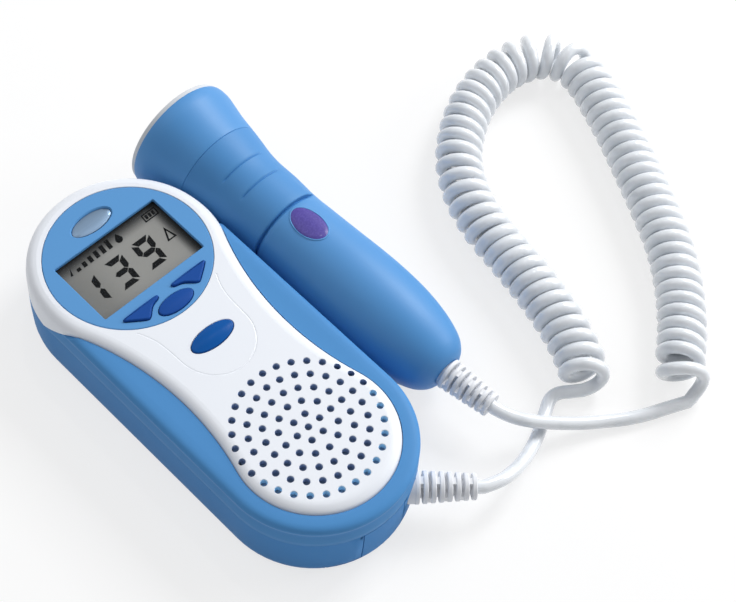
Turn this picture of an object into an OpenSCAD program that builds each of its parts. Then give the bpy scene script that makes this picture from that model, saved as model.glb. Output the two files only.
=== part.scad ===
// Hand-held fetal doppler monitor: a pocket monitor with four keys, its
// ultrasound probe lying beside it, and the curly cord between them.
// Millimetres, +Z up. The origin is the middle of the monitor's resting face,
// +Y points to the display end and +X to the probe.

/* [Monitor case] */
// Width of the monitor
body_w = 57; // [55:0.5:61]
// Length of the monitor
body_l = 133.5; // [131:0.5:140]
// Height from the resting face to the flat top of the cover
case_h = 26; // [26:0.5:29]
// Height of the parting line between the case halves
split_z = 16; // [15.5:0.5:17]
// Wall of the case halves
wall = 2; // [1.6:0.1:2.4]
// Radius of the cover's round speaker lobe
lobe_r = 23.3; // [23:0.1:24]
// Radius of the concave waist at each side of the cover
waist_r = 90; // [80:1:110]
// How far the blue shoulder lies below the cover's top
shoulder_drop = 1.6; // [1.4:0.1:2]

/* [Grille] */
// Spacing of the rings of sound holes
hole_pitch = 4.1; // [3.9:0.05:4.15]
// Diameter of a sound hole
hole_d = 1.9; // [1.2:0.1:2.4]
// Number of rings round the centre hole
hole_rings = 5; // [3:1:5]

/* [Display and keys] */
// Radius of the round display bezel
bezel_r = 23.95; // [23.7:0.05:24.2]
// Width of the display window
window_w = 36; // [32:0.5:37]
// Height of the display window
window_h = 21.8; // [19:0.2:22]
// Travel of a key
key_travel = 0.6; // [0.4:0.1:0.8]
// Clearance round a key
key_gap = 0.3; // [0.25:0.05:0.4]
// How far a key stands above the surface round it
key_rise = 0.8; // [0.7:0.1:1.2]
// Half length of the centre key
centre_key_a = 5.9; // [5:0.1:6]
// Half width of the centre key
centre_key_b = 2.65; // [2.4:0.05:2.8]
// Half length of the power key
power_key_a = 7.2; // [6:0.1:8]
// Half width of the power key
power_key_b = 3.2; // [2.8:0.1:4]

/* [Batteries] */
// Diameter of a cell
cell_d = 14.4; // [14:0.1:14.5]
// Length of a cell
cell_l = 50; // [49:0.5:50.5]
// Clearance between the battery door and the case
door_gap = 0.3; // [0.25:0.05:0.35]

/* [Probe] */
// Length of the probe from its cord end to its face
probe_l = 110.4; // [108:0.2:114]
// Largest radius of the probe's head
head_r = 18.2; // [17.4:0.1:18.6]
// Radius of the probe's belly
belly_r = 14.3; // [14:0.1:14.6]
// Wall of the probe's shells
probe_wall = 1.8; // [1.5:0.1:2]
// Gap between the probe's belly and the monitor
probe_gap = 1.9; // [1.8:0.1:2.6]
// Turn of the probe towards the display end of the monitor
probe_yaw = 1.7; // [1.2:0.1:1.8]

/* [Cord] */
// Diameter of the cord
cord_d = 3.5; // [3:0.1:3.5]
// Radius of a curl, to the middle of the cord
curl_r = 5.4; // [5.2:0.1:5.6]
// Number of curls
curls = 58; // [50:1:58]
// Length of the monitor's strain relief
relief_l = 17; // [15:0.5:18]
// Diameter of a strain relief at the housing
relief_d = 9.4; // [8.6:0.1:9.6]
// Diameter of a strain relief at its tip
relief_tip_d = 7.4; // [6.6:0.1:7.8]

/* [Hidden] */

eps = 0.01;
fine = 96;

// ---- Case outlines -------------------------------------------------------

end_r = body_w / 2;              // radius of both round ends
end_y = body_l / 2 - end_r;      // their centres, at +/- end_y
end_steps = 36;                  // facets round each end
display_y = end_y - 0.35;        // middle of the round bezel
speaker_y = -end_y + 2.6;        // middle of the grille
plate_t = 2;                     // thickness of the cover's flat top
plate_z = case_h - plate_t;      // underside of the cover's flat top
roll = 3.4;                      // width of the cover's rolled edge
shoulder_z = case_h - shoulder_drop;
seat_z = shoulder_z - 1;         // ledge that the cover's rim sits on
seat_w = 1.2;                    // width of that ledge
ceiling_z = seat_z - 2;          // underside of the upper shell's top

// Points of the case outline, drawn in by inset.
function case_outline(inset) = concat(
    [for (i = [0 : end_steps]) let (a = 180 * i / end_steps)
        [(end_r - inset) * cos(a), end_y + (end_r - inset) * sin(a)]],
    [for (i = [0 : end_steps]) let (a = 180 + 180 * i / end_steps)
        [(end_r - inset) * cos(a), -end_y + (end_r - inset) * sin(a)]]);

// The cover is an hourglass: a speaker lobe and the display end, joined by a
// waist arc at each side that touches both.
lobe_y = -end_y - 0.25;
lobe_reach = lobe_r + waist_r;
end_reach = end_r + waist_r;
lobe_to_end = end_y - lobe_y;
waist_y = lobe_y + (pow(lobe_reach, 2) - pow(end_reach, 2) + pow(lobe_to_end, 2)) / (2 * lobe_to_end);
waist_x = sqrt(pow(lobe_reach, 2) - pow(waist_y - lobe_y, 2));
end_touch = atan2(end_y - waist_y, waist_x);   // where a waist arc meets the display end
lobe_touch = atan2(waist_y - lobe_y, waist_x); // where it meets the speaker lobe
tip_angle = 6.5;                 // where the hood's rim reaches the parting line

function arc(centre, r, from, to, steps) =
    [for (i = [0 : steps - 1]) let (a = from + (to - from) * i / steps)
        centre + r * [cos(a), sin(a)]];

function cover_outline(inset) = concat(
    arc([0, end_y], end_r - inset, -end_touch, tip_angle, 5),
    arc([0, end_y], end_r - inset, tip_angle, 180 - tip_angle, 26),
    arc([0, end_y], end_r - inset, 180 - tip_angle, 180 + end_touch, 5),
    arc([-waist_x, waist_y], waist_r + inset, end_touch, -lobe_touch, 9),
    arc([0, lobe_y], lobe_r - inset, 180 - lobe_touch, 360 + lobe_touch, 32),
    arc([waist_x, waist_y], waist_r + inset, 180 + lobe_touch, 180 - end_touch, 9));

// The hood's rim drops along the side wall from the shoulder to the parting line.
hood_from_y = end_y - 9.2;
hood_to_y = end_y + end_r * sin(tip_angle);
function hood_share(y) = min(1, max(0, (y - hood_from_y) / (hood_to_y - hood_from_y)));
function hood_rim(y) = seat_z + (split_z - seat_z) * hood_share(y);

// ---- Lofted shells -------------------------------------------------------

// Faces between two rings of n points that start at a and b.
function band(n, a, b) = [for (i = [0 : n - 1]) let (j = (i + 1) % n)
    each [[a + i, b + i, b + j], [a + i, b + j, a + j]]];

// A solid from stacked rings of equal counts, closed by a cap at each end.
module loft(rings) {
    n = len(rings[0]);
    last = (len(rings) - 1) * n;
    polyhedron(points = [for (r = rings) each r], faces = concat(
        [[for (i = [0 : n - 1]) i]],
        [for (k = [0 : len(rings) - 2]) each band(n, k * n, (k + 1) * n)],
        [[for (i = [n - 1 : -1 : 0]) last + i]]), convexity = 6);
}

// A closed band from rings of equal counts, the last joined to the first.
module closed_band(rings) {
    n = len(rings[0]);
    m = len(rings);
    polyhedron(points = [for (r = rings) each r],
        faces = [for (k = [0 : m - 1]) each band(n, k * n, ((k + 1) % m) * n)], convexity = 8);
}

function at_z(outline, z) = [for (p = outline) [p[0], p[1], z]];
function case_rings(profile) = [for (s = profile) at_z(case_outline(s[0]), s[1])];

// Outside of the base, from the resting face up: [inset, height].
base_profile = [[3.2, 0], [1.5, 0.35], [0.5, 1.4], [0.2, 3.2], [0, 9], [0, split_z]];

// Outside of the upper shell: a shallow hollow below a rolled shoulder.
shoulder_profile = [[0, split_z], [0, split_z + 1.4], [0.25, split_z + 2.9],
    [0.55, shoulder_z - 3.9], [0.45, shoulder_z - 3], [0.1, shoulder_z - 2.2],
    [0.15, shoulder_z - 1.4], [0.8, shoulder_z - 0.6], [2, shoulder_z - 0.15],
    [4, shoulder_z]];

module base_solid() { loft(case_rings(base_profile)); }

// ---- Battery bay ---------------------------------------------------------

cell_r = cell_d / 2;
cell_step = cell_d + 0.5;                    // spacing of the two cells
door_z = 0.3;                                // outside of the door
door_t = 1.6;                                // thickness of the door
cell_z = door_z + door_t + 0.3 + cell_r;     // height of the cells' middle
bay_half_w = (cell_step + cell_d) / 2 + 0.9; // inside of the bay, each side
rib_t = 1.4;                                 // bay walls
contact_t = 1;                               // a contact plate and its spring
bay_from_y = -end_y - 21.9;                  // inside of the bay, speaker end
bay_to_y = bay_from_y + cell_l + 2 * contact_t + 0.4;
bay_top_z = split_z - 0.3;
lip_w = 1;                                   // lips along the door's edges
lip_t = 0.7;
tab_half_w = 7.4;                            // tab that closes the end wall
door_to_y = bay_to_y - door_gap;

module at_cells() { for (s = [-1, 1]) translate([s * cell_step / 2, 0, 0]) children(); }

// Everything the door fills, grown by g where it meets the case.
module door_room(g) {
    low_y = -body_l / 2 - 1;
    half = bay_half_w - door_gap + g;
    translate([-half, low_y, -1]) cube([2 * half, door_to_y + g - low_y, 1 + door_z + door_t + (g > 0 ? 0.2 : 0)]);
    translate([-half - lip_w, low_y, door_z + door_t - lip_t - (g > 0 ? 0.2 : 0)])
        cube([2 * (half + lip_w), door_to_y + g - low_y, lip_t + (g > 0 ? 0.4 : 0)]);
    translate([-tab_half_w - g, low_y, -1])
        cube([2 * (tab_half_w + g), -body_l / 2 + wall + 0.4 + g - low_y, split_z + 1 - (g > 0 ? -1 : 0.2)]);
}

// ---- Screw posts ---------------------------------------------------------

post_r = 3.2;
pilot_r = 1.1;
screw_r = 1;
head_hole_r = 2.7;
screw_seat_z = 6;
boss_gap = 0.1;
shell_posts = [[end_r - 7.5, -22], [-end_r + 7.5, -22]];
cover_posts = [[15.3, end_y + 15.5], [-15.3, end_y + 15.5]];
module at_each(places) { for (p = places) translate([p[0], p[1], 0]) children(); }

// ---- Strain relief -------------------------------------------------------

relief_rings = 8;
cord_r = cord_d / 2;

// Rings on a core, joined by pairs of webs that turn a quarter at each slot.
// It grows along +Z from the housing to the tip.
module relief(length) {
    step = length / (relief_rings - 0.4);
    ring_t = 0.62 * step;
    function ring_r(i) = (relief_d + (relief_tip_d - relief_d) * i / (relief_rings - 1)) / 2;
    union() {
        cylinder(r = cord_r, h = length, $fn = 48);
        for (i = [0 : relief_rings - 1])
            translate([0, 0, i * step]) cylinder(r = ring_r(i), h = i == relief_rings - 1 ? length - i * step : ring_t, $fn = 48);
        for (i = [0 : relief_rings - 2])
            translate([0, 0, i * step + ring_t / 2]) rotate([0, 0, 90 * (i % 2)])
                translate([-ring_r(i + 1) + 0.3, -1.1, 0]) cube([2 * ring_r(i + 1) - 0.6, 2.2, step]);
    }
}

relief_angle = -60;       // place of the monitor's strain relief on its end
relief_heading = -42;     // where it points
relief_z = 11;
relief_base = [end_r * cos(relief_angle), -end_y + end_r * sin(relief_angle), relief_z];
relief_sink = 1.2;        // part of a strain relief inside its housing
relief_tip = relief_base + relief_l * [cos(relief_heading), sin(relief_heading), 0];
module at_monitor_relief() {
    translate(relief_base) rotate([0, 90, relief_heading]) children();
}

// ---- Keys ----------------------------------------------------------------

function ellipse(a, b, steps = 40) = [for (i = [0 : steps - 1]) [a * cos(360 * i / steps), b * sin(360 * i / steps)]];

centre_key_y = display_y - bezel_r + centre_key_b + 1;
power_key_y = 2.6;
window_y = display_y - 0.6;
key_flange = 0.5;         // how far a key's flange reaches under the surface
key_flange_t = 1;
bezel_t = 2;
stem_r = 1.5;
board_z = 14.2;
board_t = 1.6;
board_from_y = bay_to_y + rib_t + 0.8;   // speaker end of the main board
switch_top = board_z + board_t + 3.4;
key_flange_z = plate_z - 0.4 - key_flange_t;
stem_z = switch_top + key_travel + 0.1;
key_room_w = 36;          // room for the keys' flanges under the bezel

// Right arrow key: a long top edge, a blunt lower corner and a hollow side
// that follows the centre key.
arrow_top_y = window_y - window_h / 2 - 3.5;
arrow_shape_points = [[3, 0], [2.5, -0.4], [2.6, -0.9], [3.4, -1.35], [4.6, -1.6], [5.8, -2.1], [6.9, -3],
    [7.8, -3.9], [8.6, -4.5], [9.2, -4.65], [9.8, -4.4], [14.6, -0.9], [14.8, -0.4], [14.4, 0]];
function arrow_points() = [for (p = arrow_shape_points) [p[0], p[1] + arrow_top_y]];
arrow_stem = [9.6, arrow_top_y - 2];

module arrow_shape() { polygon(arrow_points()); }
module centre_shape() { translate([0, centre_key_y]) polygon(ellipse(centre_key_a, centre_key_b)); }
module power_shape() { translate([0, power_key_y]) polygon(ellipse(power_key_a, power_key_b)); }

// A key: cap with a bevelled top, flange under the surface and stem.
module key(stem_at, top_z) {
    bevel = 0.25;
    union() {
        translate([0, 0, key_flange_z]) linear_extrude(top_z - bevel - key_flange_z) children();
        translate([0, 0, key_flange_z]) linear_extrude(top_z - key_flange_z) offset(delta = -bevel) children();
        translate([0, 0, key_flange_z]) linear_extrude(key_flange_t) offset(delta = key_flange) children();
        translate([stem_at[0], stem_at[1], stem_z]) cylinder(r = stem_r, h = key_flange_z - stem_z + eps, $fn = 32);
    }
}
module key_hole(depth) { translate([0, 0, case_h - depth]) linear_extrude(depth + 1) offset(delta = key_gap) children(); }

// ---- Speaker -------------------------------------------------------------

speaker_at = [0, speaker_y + 1];
speaker_r = 19.3;
collar_r = 20.9;
module at_speaker() { translate([speaker_at[0], speaker_at[1], 0]) children(); }

// ---- Monitor parts -------------------------------------------------------

module base_shell() {
    color("#4f8fd0") difference() {
        union() {
            loft(concat(case_rings(base_profile), case_rings([[wall, split_z], [wall + 0.1, 9],
                [wall + 0.5, wall + 1.5], [wall + 2.2, wall]])));
            at_each(concat(shell_posts, cover_posts))
                translate([0, 0, 0.5]) cylinder(r = post_r, h = split_z - boss_gap - 0.5, $fn = fine);
            for (s = [-1, 1]) translate([s * (bay_half_w + rib_t / 2) - rib_t / 2, bay_from_y - rib_t, 0.5])
                cube([rib_t, bay_to_y - bay_from_y + 2 * rib_t, bay_top_z - 0.5]);
            translate([-bay_half_w - rib_t + eps, bay_to_y, 0.5]) cube([2 * (bay_half_w + rib_t - eps), rib_t, bay_top_z - 0.5]);
            translate([-bay_half_w - eps, bay_from_y - rib_t, 2.6]) cube([2 * (bay_half_w + eps), rib_t, bay_top_z - 2.6]);
            board_rests();
        }
        door_room(door_gap);
        at_each(concat(shell_posts, cover_posts)) {
            translate([0, 0, -1]) cylinder(r = head_hole_r, h = screw_seat_z + 1, $fn = fine);
            cylinder(r = screw_r + 0.3, h = split_z + 1, $fn = fine);
        }
        at_monitor_relief() translate([0, 0, -6]) cylinder(r = relief_d / 2 + 0.1, h = 12, $fn = fine);
        for (s = [-1, 1]) pry_notch(s);
    }
}

// Small notches at the ends of the battery door's tab.
module pry_notch(side) {
    translate([side * (tab_half_w + 0.9) - 0.45, -body_l / 2 - 1, split_z - 1.6]) cube([0.9, 2.6, 2]);
}

// Blocks on the floor that carry the main board.
module board_rests() {
    for (s = [-1, 1]) translate([s * 20 - 2, display_y - 8, 0.5]) cube([4, 16, board_z - 0.5]);
    translate([-6, 4, 0.5]) cube([12, 3, board_z - 0.5]);
}

module upper_shell() {
    color("#5b9ad8") union() {
        difference() {
            loft(case_rings(shoulder_profile));
            loft(case_rings([[wall, split_z - 1], [wall, ceiling_z - 1], [wall + 1, ceiling_z]]));
            translate([0, 0, split_z]) linear_extrude(case_h) polygon(cover_outline(seat_w));
            translate([0, 0, seat_z]) linear_extrude(case_h) polygon(cover_outline(-0.15));
            hood_cut(0.15);
        }
        shell_bosses();
    }
}

module shell_bosses() {
    difference() {
        at_each(shell_posts) translate([0, 0, split_z]) cylinder(r = post_r - 0.2, h = ceiling_z - split_z + 0.5, $fn = fine);
        at_each(shell_posts) translate([0, 0, split_z - 1]) cylinder(r = pilot_r, h = ceiling_z - split_z, $fn = fine);
        translate([0, 0, split_z]) linear_extrude(case_h) polygon(cover_outline(seat_w));
    }
}

// Removes the display end, beyond the hood's slanting rim.
module hood_cut(gap) {
    far = body_l;
    rotate([90, 0, 90]) translate([0, 0, -body_w]) linear_extrude(2 * body_w)
        polygon([[hood_from_y - gap - 1.5, case_h + 1], [hood_from_y - gap - 1.5, seat_z + 1], [hood_from_y - gap, seat_z],
            [hood_to_y - gap, split_z], [hood_to_y - gap, split_z - 1], [far, split_z - 1], [far, case_h + 1]]);
}

// Ring of the cover's edge: a rolled top, and a rim that grows into the hood.
function mix(a, b, t) = a + (b - a) * t;
function edge_point(k, y) =
    let (h = hood_share(y), rim = hood_rim(y))
    k == 0 ? [roll, case_h] :
    k == 1 ? [mix(2.2, 2, h), case_h - mix(0.15, 0.4, h)] :
    k == 2 ? [mix(1.1, 0.9, h), case_h - mix(0.6, 1.25, h)] :
    k == 3 ? [mix(0.35, 0.25, h), case_h - mix(1.2, 2.5, h)] :
    k == 4 ? [0, max(rim + 0.2, case_h - mix(2, 4.4, h))] :
    k == 5 ? [0, rim] :
    k == 6 ? [wall, rim] :
    k == 7 ? [wall, max(rim + 0.4, plate_z - mix(0, 0.8, h))] :
    [roll, plate_z];

module cover_band() {
    spine = cover_outline(0);
    closed_band([for (k = [8 : -1 : 0]) let (narrow = cover_outline(0.5), wide = cover_outline(0))
        [for (j = [0 : len(spine) - 1]) let (e = edge_point(k, spine[j][1]),
            q = wide[j] + (narrow[j] - wide[j]) * e[0] / 0.5) [q[0], q[1], e[1]]]]);
}

module front_cover() {
    color("white") difference() {
        union() {
            cover_band();
            translate([0, 0, plate_z]) linear_extrude(plate_t) polygon(cover_outline(roll));
            bezel_ledge();
            at_speaker() translate([0, 0, plate_z - 3.4]) cylinder(r = collar_r, h = 3.4 + eps, $fn = fine);
            at_each(cover_posts) translate([0, 0, split_z]) cylinder(r = post_r - 0.2, h = plate_z - split_z - 0.1, $fn = fine);
        }
        translate([0, display_y, plate_z]) cylinder(r = bezel_r + 0.15, h = plate_t + 1, $fn = fine);
        at_speaker() translate([0, 0, plate_z - 4]) cylinder(r = speaker_r + 0.2, h = 4, $fn = fine);
        at_each(cover_posts) translate([0, 0, split_z - 1]) cylinder(r = pilot_r, h = 6, $fn = fine);
        grille_holes();
        key_hole(plate_t + 1) power_shape();
        tongue_groove();
    }
}

// Rim that the bezel sits on, left open for the display and the keys.
module bezel_ledge() {
    difference() {
        translate([0, display_y, plate_z - 1.2]) cylinder(r = bezel_r + 2, h = 1.2 + eps, $fn = fine);
        translate([0, display_y, plate_z - 2]) cylinder(r = bezel_r - 0.75, h = 3, $fn = fine);
        translate([-lcd_w / 2 - 1.2, window_y - lcd_h / 2 - 1.1, plate_z - 2]) cube([lcd_w + 2.4, lcd_h + 2.2, 3]);
        translate([-key_room_w / 2, display_y - bezel_r - 2.1, plate_z - 2]) cube([key_room_w, 14, 3]);
    }
}

module grille_holes() {
    translate([0, speaker_y, plate_z - 1]) {
        cylinder(d = hole_d, h = plate_t + 2, $fn = 24);
        for (ring = [1 : hole_rings]) for (i = [0 : 6 * ring - 1])
            rotate([0, 0, 60 * i / ring]) translate([ring * hole_pitch, 0, 0])
                cylinder(d = hole_d, h = plate_t + 2, $fn = 24);
    }
}

// Fine groove like a tongue round the power key, flaring to the bezel.
tongue_w = 11.6;
tongue_l = 12.4;
tongue_flare = [[16.3, 19.8], [14.6, 17.2], [13.4, 14.8], [12.3, 11.4], [11.8, 7.4]];
function tongue(inset) = concat(
    [for (p = tongue_flare) [-p[0] + inset, p[1]]],
    [for (i = [0 : 16]) let (a = 180 + 180 * i / 16) [(tongue_w - inset) * cos(a), power_key_y - 0.2 + (tongue_l - inset) * sin(a)]],
    [for (i = [len(tongue_flare) - 1 : -1 : 0]) [tongue_flare[i][0] - inset, tongue_flare[i][1]]]);
module tongue_groove() {
    translate([0, 0, case_h - 0.25]) linear_extrude(1) difference() {
        polygon(tongue(0));
        polygon(tongue(0.4));
        translate([0, display_y]) circle(r = bezel_r + 0.6, $fn = fine);
    }
}

module display_bezel() {
    color("#5b9bdd") difference() {
        translate([0, display_y, plate_z]) union() {
            cylinder(r = bezel_r, h = bezel_t - 0.2, $fn = fine);
            translate([0, 0, bezel_t - 0.2]) cylinder(r1 = bezel_r, r2 = bezel_r - 0.2, h = 0.2, $fn = fine);
        }
        translate([-window_w / 2, window_y - window_h / 2, plate_z - 1]) cube([window_w, window_h, 4]);
        translate([-window_w / 2 - 1, window_y - window_h / 2 - 1, plate_z - 1]) cube([window_w + 2, window_h + 2, 2]);
        key_hole(bezel_t + 1) centre_shape();
        for (m = [0, 1]) mirror([m, 0, 0]) key_hole(bezel_t + 1) arrow_shape();
        translate([0, logo_y, case_h - 0.8]) linear_extrude(2) polygon(ellipse(logo_a + 0.1, logo_b + 0.1));
    }
}
logo_a = 6.7;
logo_b = 3;
logo_y = display_y + 15.9;

module logo_plate() {
    color("#b8c4cc") translate([0, logo_y, case_h - 0.8]) union() {
        linear_extrude(0.5) polygon(ellipse(logo_a, logo_b));
        linear_extrude(0.65) polygon(ellipse(logo_a - 0.6, logo_b - 0.6));
    }
}

module display_window() {
    color("#dfe8ea", 0.4) translate([-window_w / 2 - 0.8, window_y - window_h / 2 - 0.8, plate_z + 0.02])
        cube([window_w + 1.6, window_h + 1.6, 0.9]);
}

lcd_w = window_w + 4;
lcd_h = window_h + 4;
module lcd_panel() {
    color("#9aa08f") union() {
        translate([-lcd_w / 2, window_y - lcd_h / 2, plate_z - 1.2]) cube([lcd_w, lcd_h, 1.1]);
        translate([-lcd_w / 2, window_y - lcd_h / 2 + 1.5, plate_z - 2.3]) cube([lcd_w, lcd_h - 3, 1.15]);
    }
}
module lcd_backlight() {
    color("#e8ecef") difference() {
        translate([-lcd_w / 2 + 1, window_y - lcd_h / 2 + 3.2, board_z + board_t + 0.6])
            cube([lcd_w - 2, lcd_h - 6.4, plate_z - 2.4 - board_z - board_t - 0.6]);
        translate([-lcd_w / 2 + 4, window_y - lcd_h / 2 + 6, board_z]) cube([lcd_w - 8, lcd_h - 12, 4.6]);
    }
    color("#e8ecef") for (sx = [-1, 1], sy = [-1, 1])
        translate([sx * (lcd_w / 2 - 3), window_y + sy * (lcd_h / 2 - 5), board_z + board_t]) cylinder(r = 1, h = 0.7, $fn = 24);
}
module lcd_strips() {
    color("#3a3d42") for (s = [-1, 1])
        translate([-lcd_w / 2 + 2, window_y + s * (lcd_h / 2 - 2.2) - 0.7, board_z + board_t])
            cube([lcd_w - 4, 1.4, plate_z - 2.35 - board_z - board_t]);
}

module right_key() { color("#1f4f9e") key(arrow_stem, case_h + key_rise) arrow_shape(); }
module left_key() { mirror([1, 0, 0]) right_key(); }
module centre_key() { color("#1f4f9e") key([0, centre_key_y], case_h + key_rise) centre_shape(); }
module power_key() { color("#1f4f9e") key([0, power_key_y], case_h + key_rise + 0.3) power_shape(); }

module main_board() {
    color("#2f7d4f") translate([0, 0, board_z]) difference() {
        linear_extrude(board_t) union() {
            translate([0, end_y]) circle(r = end_r - wall - 2, $fn = fine);
            translate([-19, board_from_y]) square([38, end_y - board_from_y]);
        }
        at_each(cover_posts) translate([0, 0, -1]) cylinder(r = post_r + 0.5, h = 4, $fn = fine);
    }
}

switch_places = [[0, centre_key_y], arrow_stem, [-arrow_stem[0], arrow_stem[1]], [0, power_key_y]];
module key_switches() {
    color("#30343a") at_each(switch_places) translate([0, 0, board_z + board_t]) {
        translate([-3, -3, 0]) cube([6, 6, 2.4]);
        cylinder(r = 1.7, h = 3.4, $fn = 32);
    }
}

module board_parts() {
    top = board_z + board_t;
    chips_y = centre_key_y - 9.6;
    color("#22252a") {
        translate([-13, chips_y, top]) cube([9, 5, 1.6]);
        translate([5, chips_y, top]) cube([6, 4, 1.4]);
        for (i = [0 : 3]) translate([-15 + 5 * i, board_from_y + 2, top]) cube([2, 1.2, 0.9]);
        for (s = [-1, 1]) translate([s * 11, board_from_y + 4.5, top]) cylinder(r = 2.5, h = 5, $fn = 32);
    }
}

module speaker_cloth() {
    color("#1c1e22") at_speaker() translate([0, 0, plate_z - 0.35]) cylinder(r = speaker_r, h = 0.33, $fn = fine);
}
module speaker_frame() {
    top = plate_z - 0.38;
    color("#3b3f45") at_speaker() difference() {
        rotate_extrude($fn = fine) polygon([[0, top - 4.6], [10, top - 4.6], [17.4, top - 1.2], [speaker_r, top - 1.2],
            [speaker_r, top], [17.1, top], [17.1, top - 0.6], [15.8, top - 0.6], [9.6, top - 3.9], [0, top - 3.9]]);
        translate([0, 0, top - 5]) cylinder(r = 2.6, h = 2, $fn = 48);
    }
}
module speaker_cone() {
    seat = plate_z - 0.38 - 0.6;
    color("#25272b") at_speaker() translate([0, 0, seat + 0.02]) rotate_extrude($fn = fine)
        polygon([[0, -3.2], [2.2, -3.2], [2.2, -2.4], [15.3, -0.04], [15.8, 0], [16.9, 0], [16.9, 0.3],
            [16.2, 0.45], [15.4, 0.3], [3, -1.9], [1.5, -1.5], [0, -1.4]]);
}
module speaker_magnet() {
    top = plate_z - 0.38 - 4.6;
    color("#8d9298") at_speaker() difference() {
        translate([0, 0, top - 1.2]) cylinder(r = 8.5, h = 1.2, $fn = fine);
        translate([0, 0, top - 2]) cylinder(r = 1.6, h = 3, $fn = 48);
    }
}

module battery_cells() {
    color("#c9a45a") at_cells() translate([0, bay_from_y + contact_t + 0.2, cell_z]) rotate([-90, 0, 0]) {
        cylinder(r = cell_r, h = cell_l - 1, $fn = fine);
        translate([0, 0, cell_l - 1]) cylinder(r = 2.7, h = 1, $fn = 48);
    }
}
module battery_contacts() {
    color("#b9bcc0") at_cells() {
        translate([-4, bay_from_y, cell_z - 4]) cube([8, 0.4, 8]);
        translate([0, bay_from_y + 0.4, cell_z]) rotate([-90, 0, 0]) cylinder(r1 = 3, r2 = 1.8, h = contact_t - 0.4 + 0.15, $fn = 48);
        translate([-4, bay_to_y - 0.4, cell_z - 4]) cube([8, 0.4, 8]);
    }
}
module battery_door() {
    color("#4f8fd0") intersection() {
        base_solid();
        difference() {
            door_room(0);
            translate([-body_w, -body_l, -1]) cube([2 * body_w, 2 * body_l, 1 + door_z]);
        }
    }
}
module case_screws() {
    color("#9aa0a6") {
        at_each(concat(shell_posts, cover_posts)) {
            difference() {
                translate([0, 0, screw_seat_z - 1.8]) cylinder(r = 2.4, h = 1.8, $fn = 48);
                for (a = [0, 90]) rotate([0, 0, a]) translate([-1.5, -0.25, screw_seat_z - 2.8]) cube([3, 0.5, 1.6]);
            }
            translate([0, 0, screw_seat_z - eps]) cylinder(r = screw_r, h = 13.5, $fn = 48);
        }
    }
}
module monitor_strain_relief() { color("#e4e6ea") at_monitor_relief() union() {
    relief(relief_l);
    translate([0, 0, -relief_sink - 1.2]) cylinder(r = relief_d / 2 - 0.1, h = relief_sink + 1.2 + eps, $fn = 48);
} }

// ---- Probe ---------------------------------------------------------------

step_u = 63.8;            // rear edge of the grip
seam_u = 92.4;            // joint of the grip and the head
face_u = probe_l;
belly_u = 30;
head_u = probe_l - 3.6;   // widest place of the head
tilt = atan((head_r - belly_r) / (head_u - belly_u));
probe_y = -end_y - 5.8;
probe_z = belly_r * cos(tilt) - belly_u * sin(tilt) + 0.12;

// The probe's own frame has +Z from the cord end to the face and +Y up.
module in_probe() {
    translate([probe_x, probe_y, probe_z]) rotate([tilt - 90, 0, probe_yaw]) rotate([0, 0, 180]) children();
}
function probe_axis() = [-sin(probe_yaw) * cos(tilt), cos(probe_yaw) * cos(tilt), sin(tilt)];

// Outside of each shell: [distance from the cord end, radius].
barrel_profile = [[0, 5.3], [0.8, 6.9], [2, 8.3], [4, 9.8], [7, 11.1], [11, 12.3], [16, 13.3], [22, 14],
    [belly_u, belly_r], [38, belly_r - 0.15], [48, belly_r - 0.65], [58, belly_r - 1.1],
    [step_u - 1.6, belly_r - 1.3], [step_u, belly_r - 1.5]];
grip_profile = [[step_u, belly_r - 0.95], [step_u + 0.5, belly_r - 0.75], [70, belly_r - 0.85], [76, belly_r - 0.95],
    [80, belly_r - 0.9], [84, belly_r - 0.45], [88, belly_r + 0.35], [seam_u - 0.3, belly_r + 1.15], [seam_u, belly_r + 0.95]];
head_profile = [[seam_u, belly_r + 0.95], [seam_u + 0.3, belly_r + 1.2], [98, head_r - 1.8], [102, head_r - 0.85],
    [105, head_r - 0.15], [head_u, head_r], [head_u + 1.4, head_r - 0.25], [face_u - 1.2, head_r - 0.95],
    [face_u - 0.4, head_r - 1.9]];

// The probe lies as near as its belly's gap and its flared head's gap let it.
head_gap = 0.4;
function case_half_w(y) = sqrt(pow(end_r, 2) - pow(min(end_r, max(0, abs(y) - end_y)), 2));
head_reach = max([for (p = concat(grip_profile, head_profile))
    case_half_w(probe_y + p[0] * cos(probe_yaw)) + p[1] + p[0] * sin(probe_yaw)]);
probe_x = max(end_r + probe_gap + belly_r + belly_u * sin(probe_yaw), head_reach + head_gap);

// A shell: its outside profile and the same profile one wall further in.
module probe_shell(profile) {
    inner = [for (i = [len(profile) - 1 : -1 : 0]) [profile[i][1] - probe_wall, profile[i][0]]];
    rotate_extrude($fn = fine) polygon(concat([for (p = profile) [p[1], p[0]]], inner));
}

// A fine groove over part of the grip's upper side.
module grip_groove(u, r) {
    rotate([0, 0, 90 - 35]) rotate_extrude(angle = 70, $fn = fine)
        polygon([[r - 0.35, u - 0.05], [r + 1, u - 0.4], [r + 1, u + 0.4], [r - 0.35, u + 0.05]]);
}

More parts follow.
